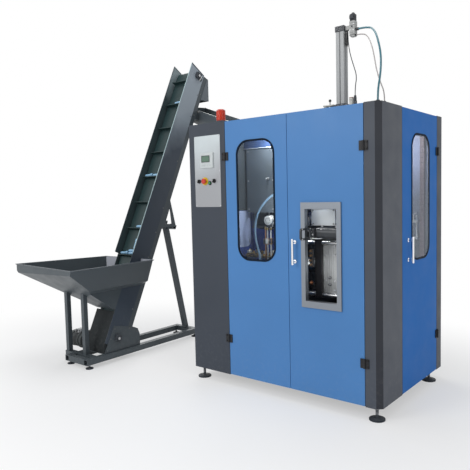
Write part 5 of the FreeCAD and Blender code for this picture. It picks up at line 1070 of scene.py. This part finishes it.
# nuts, threads and soles of the feet
feet = ((50, 50), (50, 962), (1522, 50), (1522, 962))
pads = ((-881, -380), (-881, 915), (-1145, -380), (-1145, 915), (-1263, -310))
footNuts = {
    "finish": ["zincPlate", "gasketRubber"], "slot": "zinc",
    "turned": [([(x, y, z) for x, y in spots for z in levels], upward, profile, steps, finish)
               for spots, levels, steps, finish, profile in (
                   (feet, (68,), 6, 0, [(0, 0), (16, 0), (18, 2), (18, 12), (16, 14), (0, 14)]),
                   (feet, range(34, 60, 5), 24, 0, [(9.6, 0), (11, 1.6), (9.6, 3.2)]),
                   (feet, (0.6,), 40, 1, [(50.4, 0), (51, 2), (51, 8), (49.5, 10)]),
                   (pads, (23,), 6, 0, [(0, 0), (10, 0), (11, 1.5), (11, 8), (10, 9), (0, 9)]),
                   (pads, (0.6,), 32, 1, [(32.2, 0), (32.8, 1.5), (32.8, 6), (31.6, 7.5)]))],
}
makePiece("footNuts", footNuts)

# screws of the boot, chute, cabinet panels and drive box
bootPlaces = ((-190, 110), (-150, 205), (-100, 285), (60, 262), (148, 215), (160, 110))
sheetScrews = {
    "finish": "dullScrew", "slot": "zinc",
    "hexagons": [([(x, y, z) for y, z in bootPlaces], outward, 6)
                 for x, outward in ((-877, toRight), (-1138, toLeft))],
    "domed": [(grid(-880, 1218, (2450, 2520, 2590)), toRight, 5),
              (grid(-1135, 1218, (2450, 2520, 2590)), toLeft, 5),
              (grid((-1110, -1008, -905), 1232, (2440, 2600)), toRear, 5)],
}
makePiece("sheetScrews", sheetScrews)

noseSettings = {"left": -1131, "right": -884, "thick": 2.5, "flange": 30,
                "path": ((-187, 238), (-204, 204), (-216, 168), (-221, 128), (-221, 88))}


def makeBootNose(s):
    # bent sheet with side flanges that closes the boot below the front cover
    left, right, thick, back = s["left"], s["right"], s["thick"], s["flange"]
    outline = ((left, back), (left, 0), (right, 0), (right, back), (right - thick, back),
               (right - thick, thick), (left + thick, thick), (left + thick, back))
    bm = bmesh.new()
    rows = [[bm.verts.new(spot(x, y + deep, z)) for x, deep in outline] for y, z in s["path"]]
    for low, high in zip(rows, rows[1:]):
        for k in range(len(outline)):
            after = (k + 1) % len(outline)
            bm.faces.new((low[k], low[after], high[after], high[k]))
    for row in (rows[0], rows[-1]):
        for a, b, c, d in ((0, 1, 6, 7), (1, 2, 5, 6), (2, 3, 4, 5)):
            bm.faces.new((row[a], row[b], row[c], row[d]))
    finishMesh("bootNose", bm, "feederShade", "machine")


makeBootNose(noseSettings)
print("feeder dressed")

panelScrews = {
    "finish": "dullScrew", "slot": "zinc",
    "domed": [(grid((22, 1546), 1082, (112, 575, 1040, 1500, 1962)), toRear, 5.5),
              (grid((405, 788, 1171), 1082, (112, 1962)), toRear, 5.5),
              (grid((420, 700, 980, 1420), (44, 1050), 1985), upward, 5.5),
              (grid(0, (40, 540, 1040), (140, 1040, 1930)), toLeft, 5.5)],
}
makePiece("panelScrews", panelScrews)

driveBoxScrews = {
    "finish": "dullScrew", "slot": "zinc",
    "domed": [(grid(-1236, (1225, 1300, 1390), (2285, 2386)), toLeft, 4.5),
              (grid((-1222, -1150, -1078), (1217, 1398), 2399), upward, 4.5)],
}
makePiece("driveBoxScrews", driveBoxScrews)
print("panels and drive box screwed")

# hoses and cables, drawn smoothly along these points
hoseRoutes = {
    "airHose": {"node": "air_hose", "finish": "tealHose", "slot": "hose_teal", "diameter": 13, "points": [
        (1290, 300, 2520), (1360, 300, 2520), (1438, 222, 2466), (1492, 158, 2380),
        (1527, 122, 2275), (1524, 120, 2165), (1496, 140, 2075), (1496, 140, 2010)]},
    "pilotTube": {"node": "pilot_tube", "finish": "greyTube", "slot": "tube_grey", "diameter": 8, "points": [
        (1275, 300, 2483), (1325, 300, 2483), (1382, 250, 2440), (1428, 204, 2368),
        (1458, 176, 2285), (1476, 166, 2200), (1500, 172, 2120), (1520, 185, 2060),
        (1520, 185, 2005)]},
    "sensorCable": {"node": "sensor_cable", "finish": "cableSheath", "slot": "cable_black", "diameter": 6,
                    "points": [
        (1214, 296, 2524), (1214, 296, 2474), (1225, 286, 2410), (1248, 264, 2345),
        (1286, 232, 2270), (1322, 206, 2192), (1301, 221, 2122), (1301, 221, 2073)]},
    "blowHose": {"node": "blow_hose", "finish": "blueHose", "slot": "hose_blue", "diameter": 16, "points": [
        (790, 170, 1460), (720, 170, 1460), (640, 170, 1425), (565, 170, 1362), (512, 170, 1280),
        (494, 170, 1195), (499, 170, 1105), (516, 170, 1040), (536, 170, 980), (536, 170, 925)]},
}


def makeHoses(routes):
    for name, s in routes.items():
        data = bpy.data.curves.new(name, "CURVE")
        data.dimensions = "3D"
        spline = data.splines.new("NURBS")
        spline.points.add(len(s["points"]) - 1)
        for point, place in zip(spline.points, s["points"]):
            point.co = (*spot(*place), 1)
        spline.order_u = 3
        spline.use_endpoint_u = True
        spline.resolution_u = 12
        data.bevel_depth = s["diameter"] / 2000
        data.bevel_resolution = 4
        data.use_fill_caps = True
        data.materials.append(made[s["finish"]])
        piece = addObject(name, data)
        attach(piece, "machine")
        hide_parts(s["node"])
        path = bpy.data.objects.new(name + "Line", data.copy())
        path.data.bevel_depth = 0
        line = bpy.data.meshes.new_from_object(path)
        bpy.data.objects.remove(path)


makeHoses(hoseRoutes)
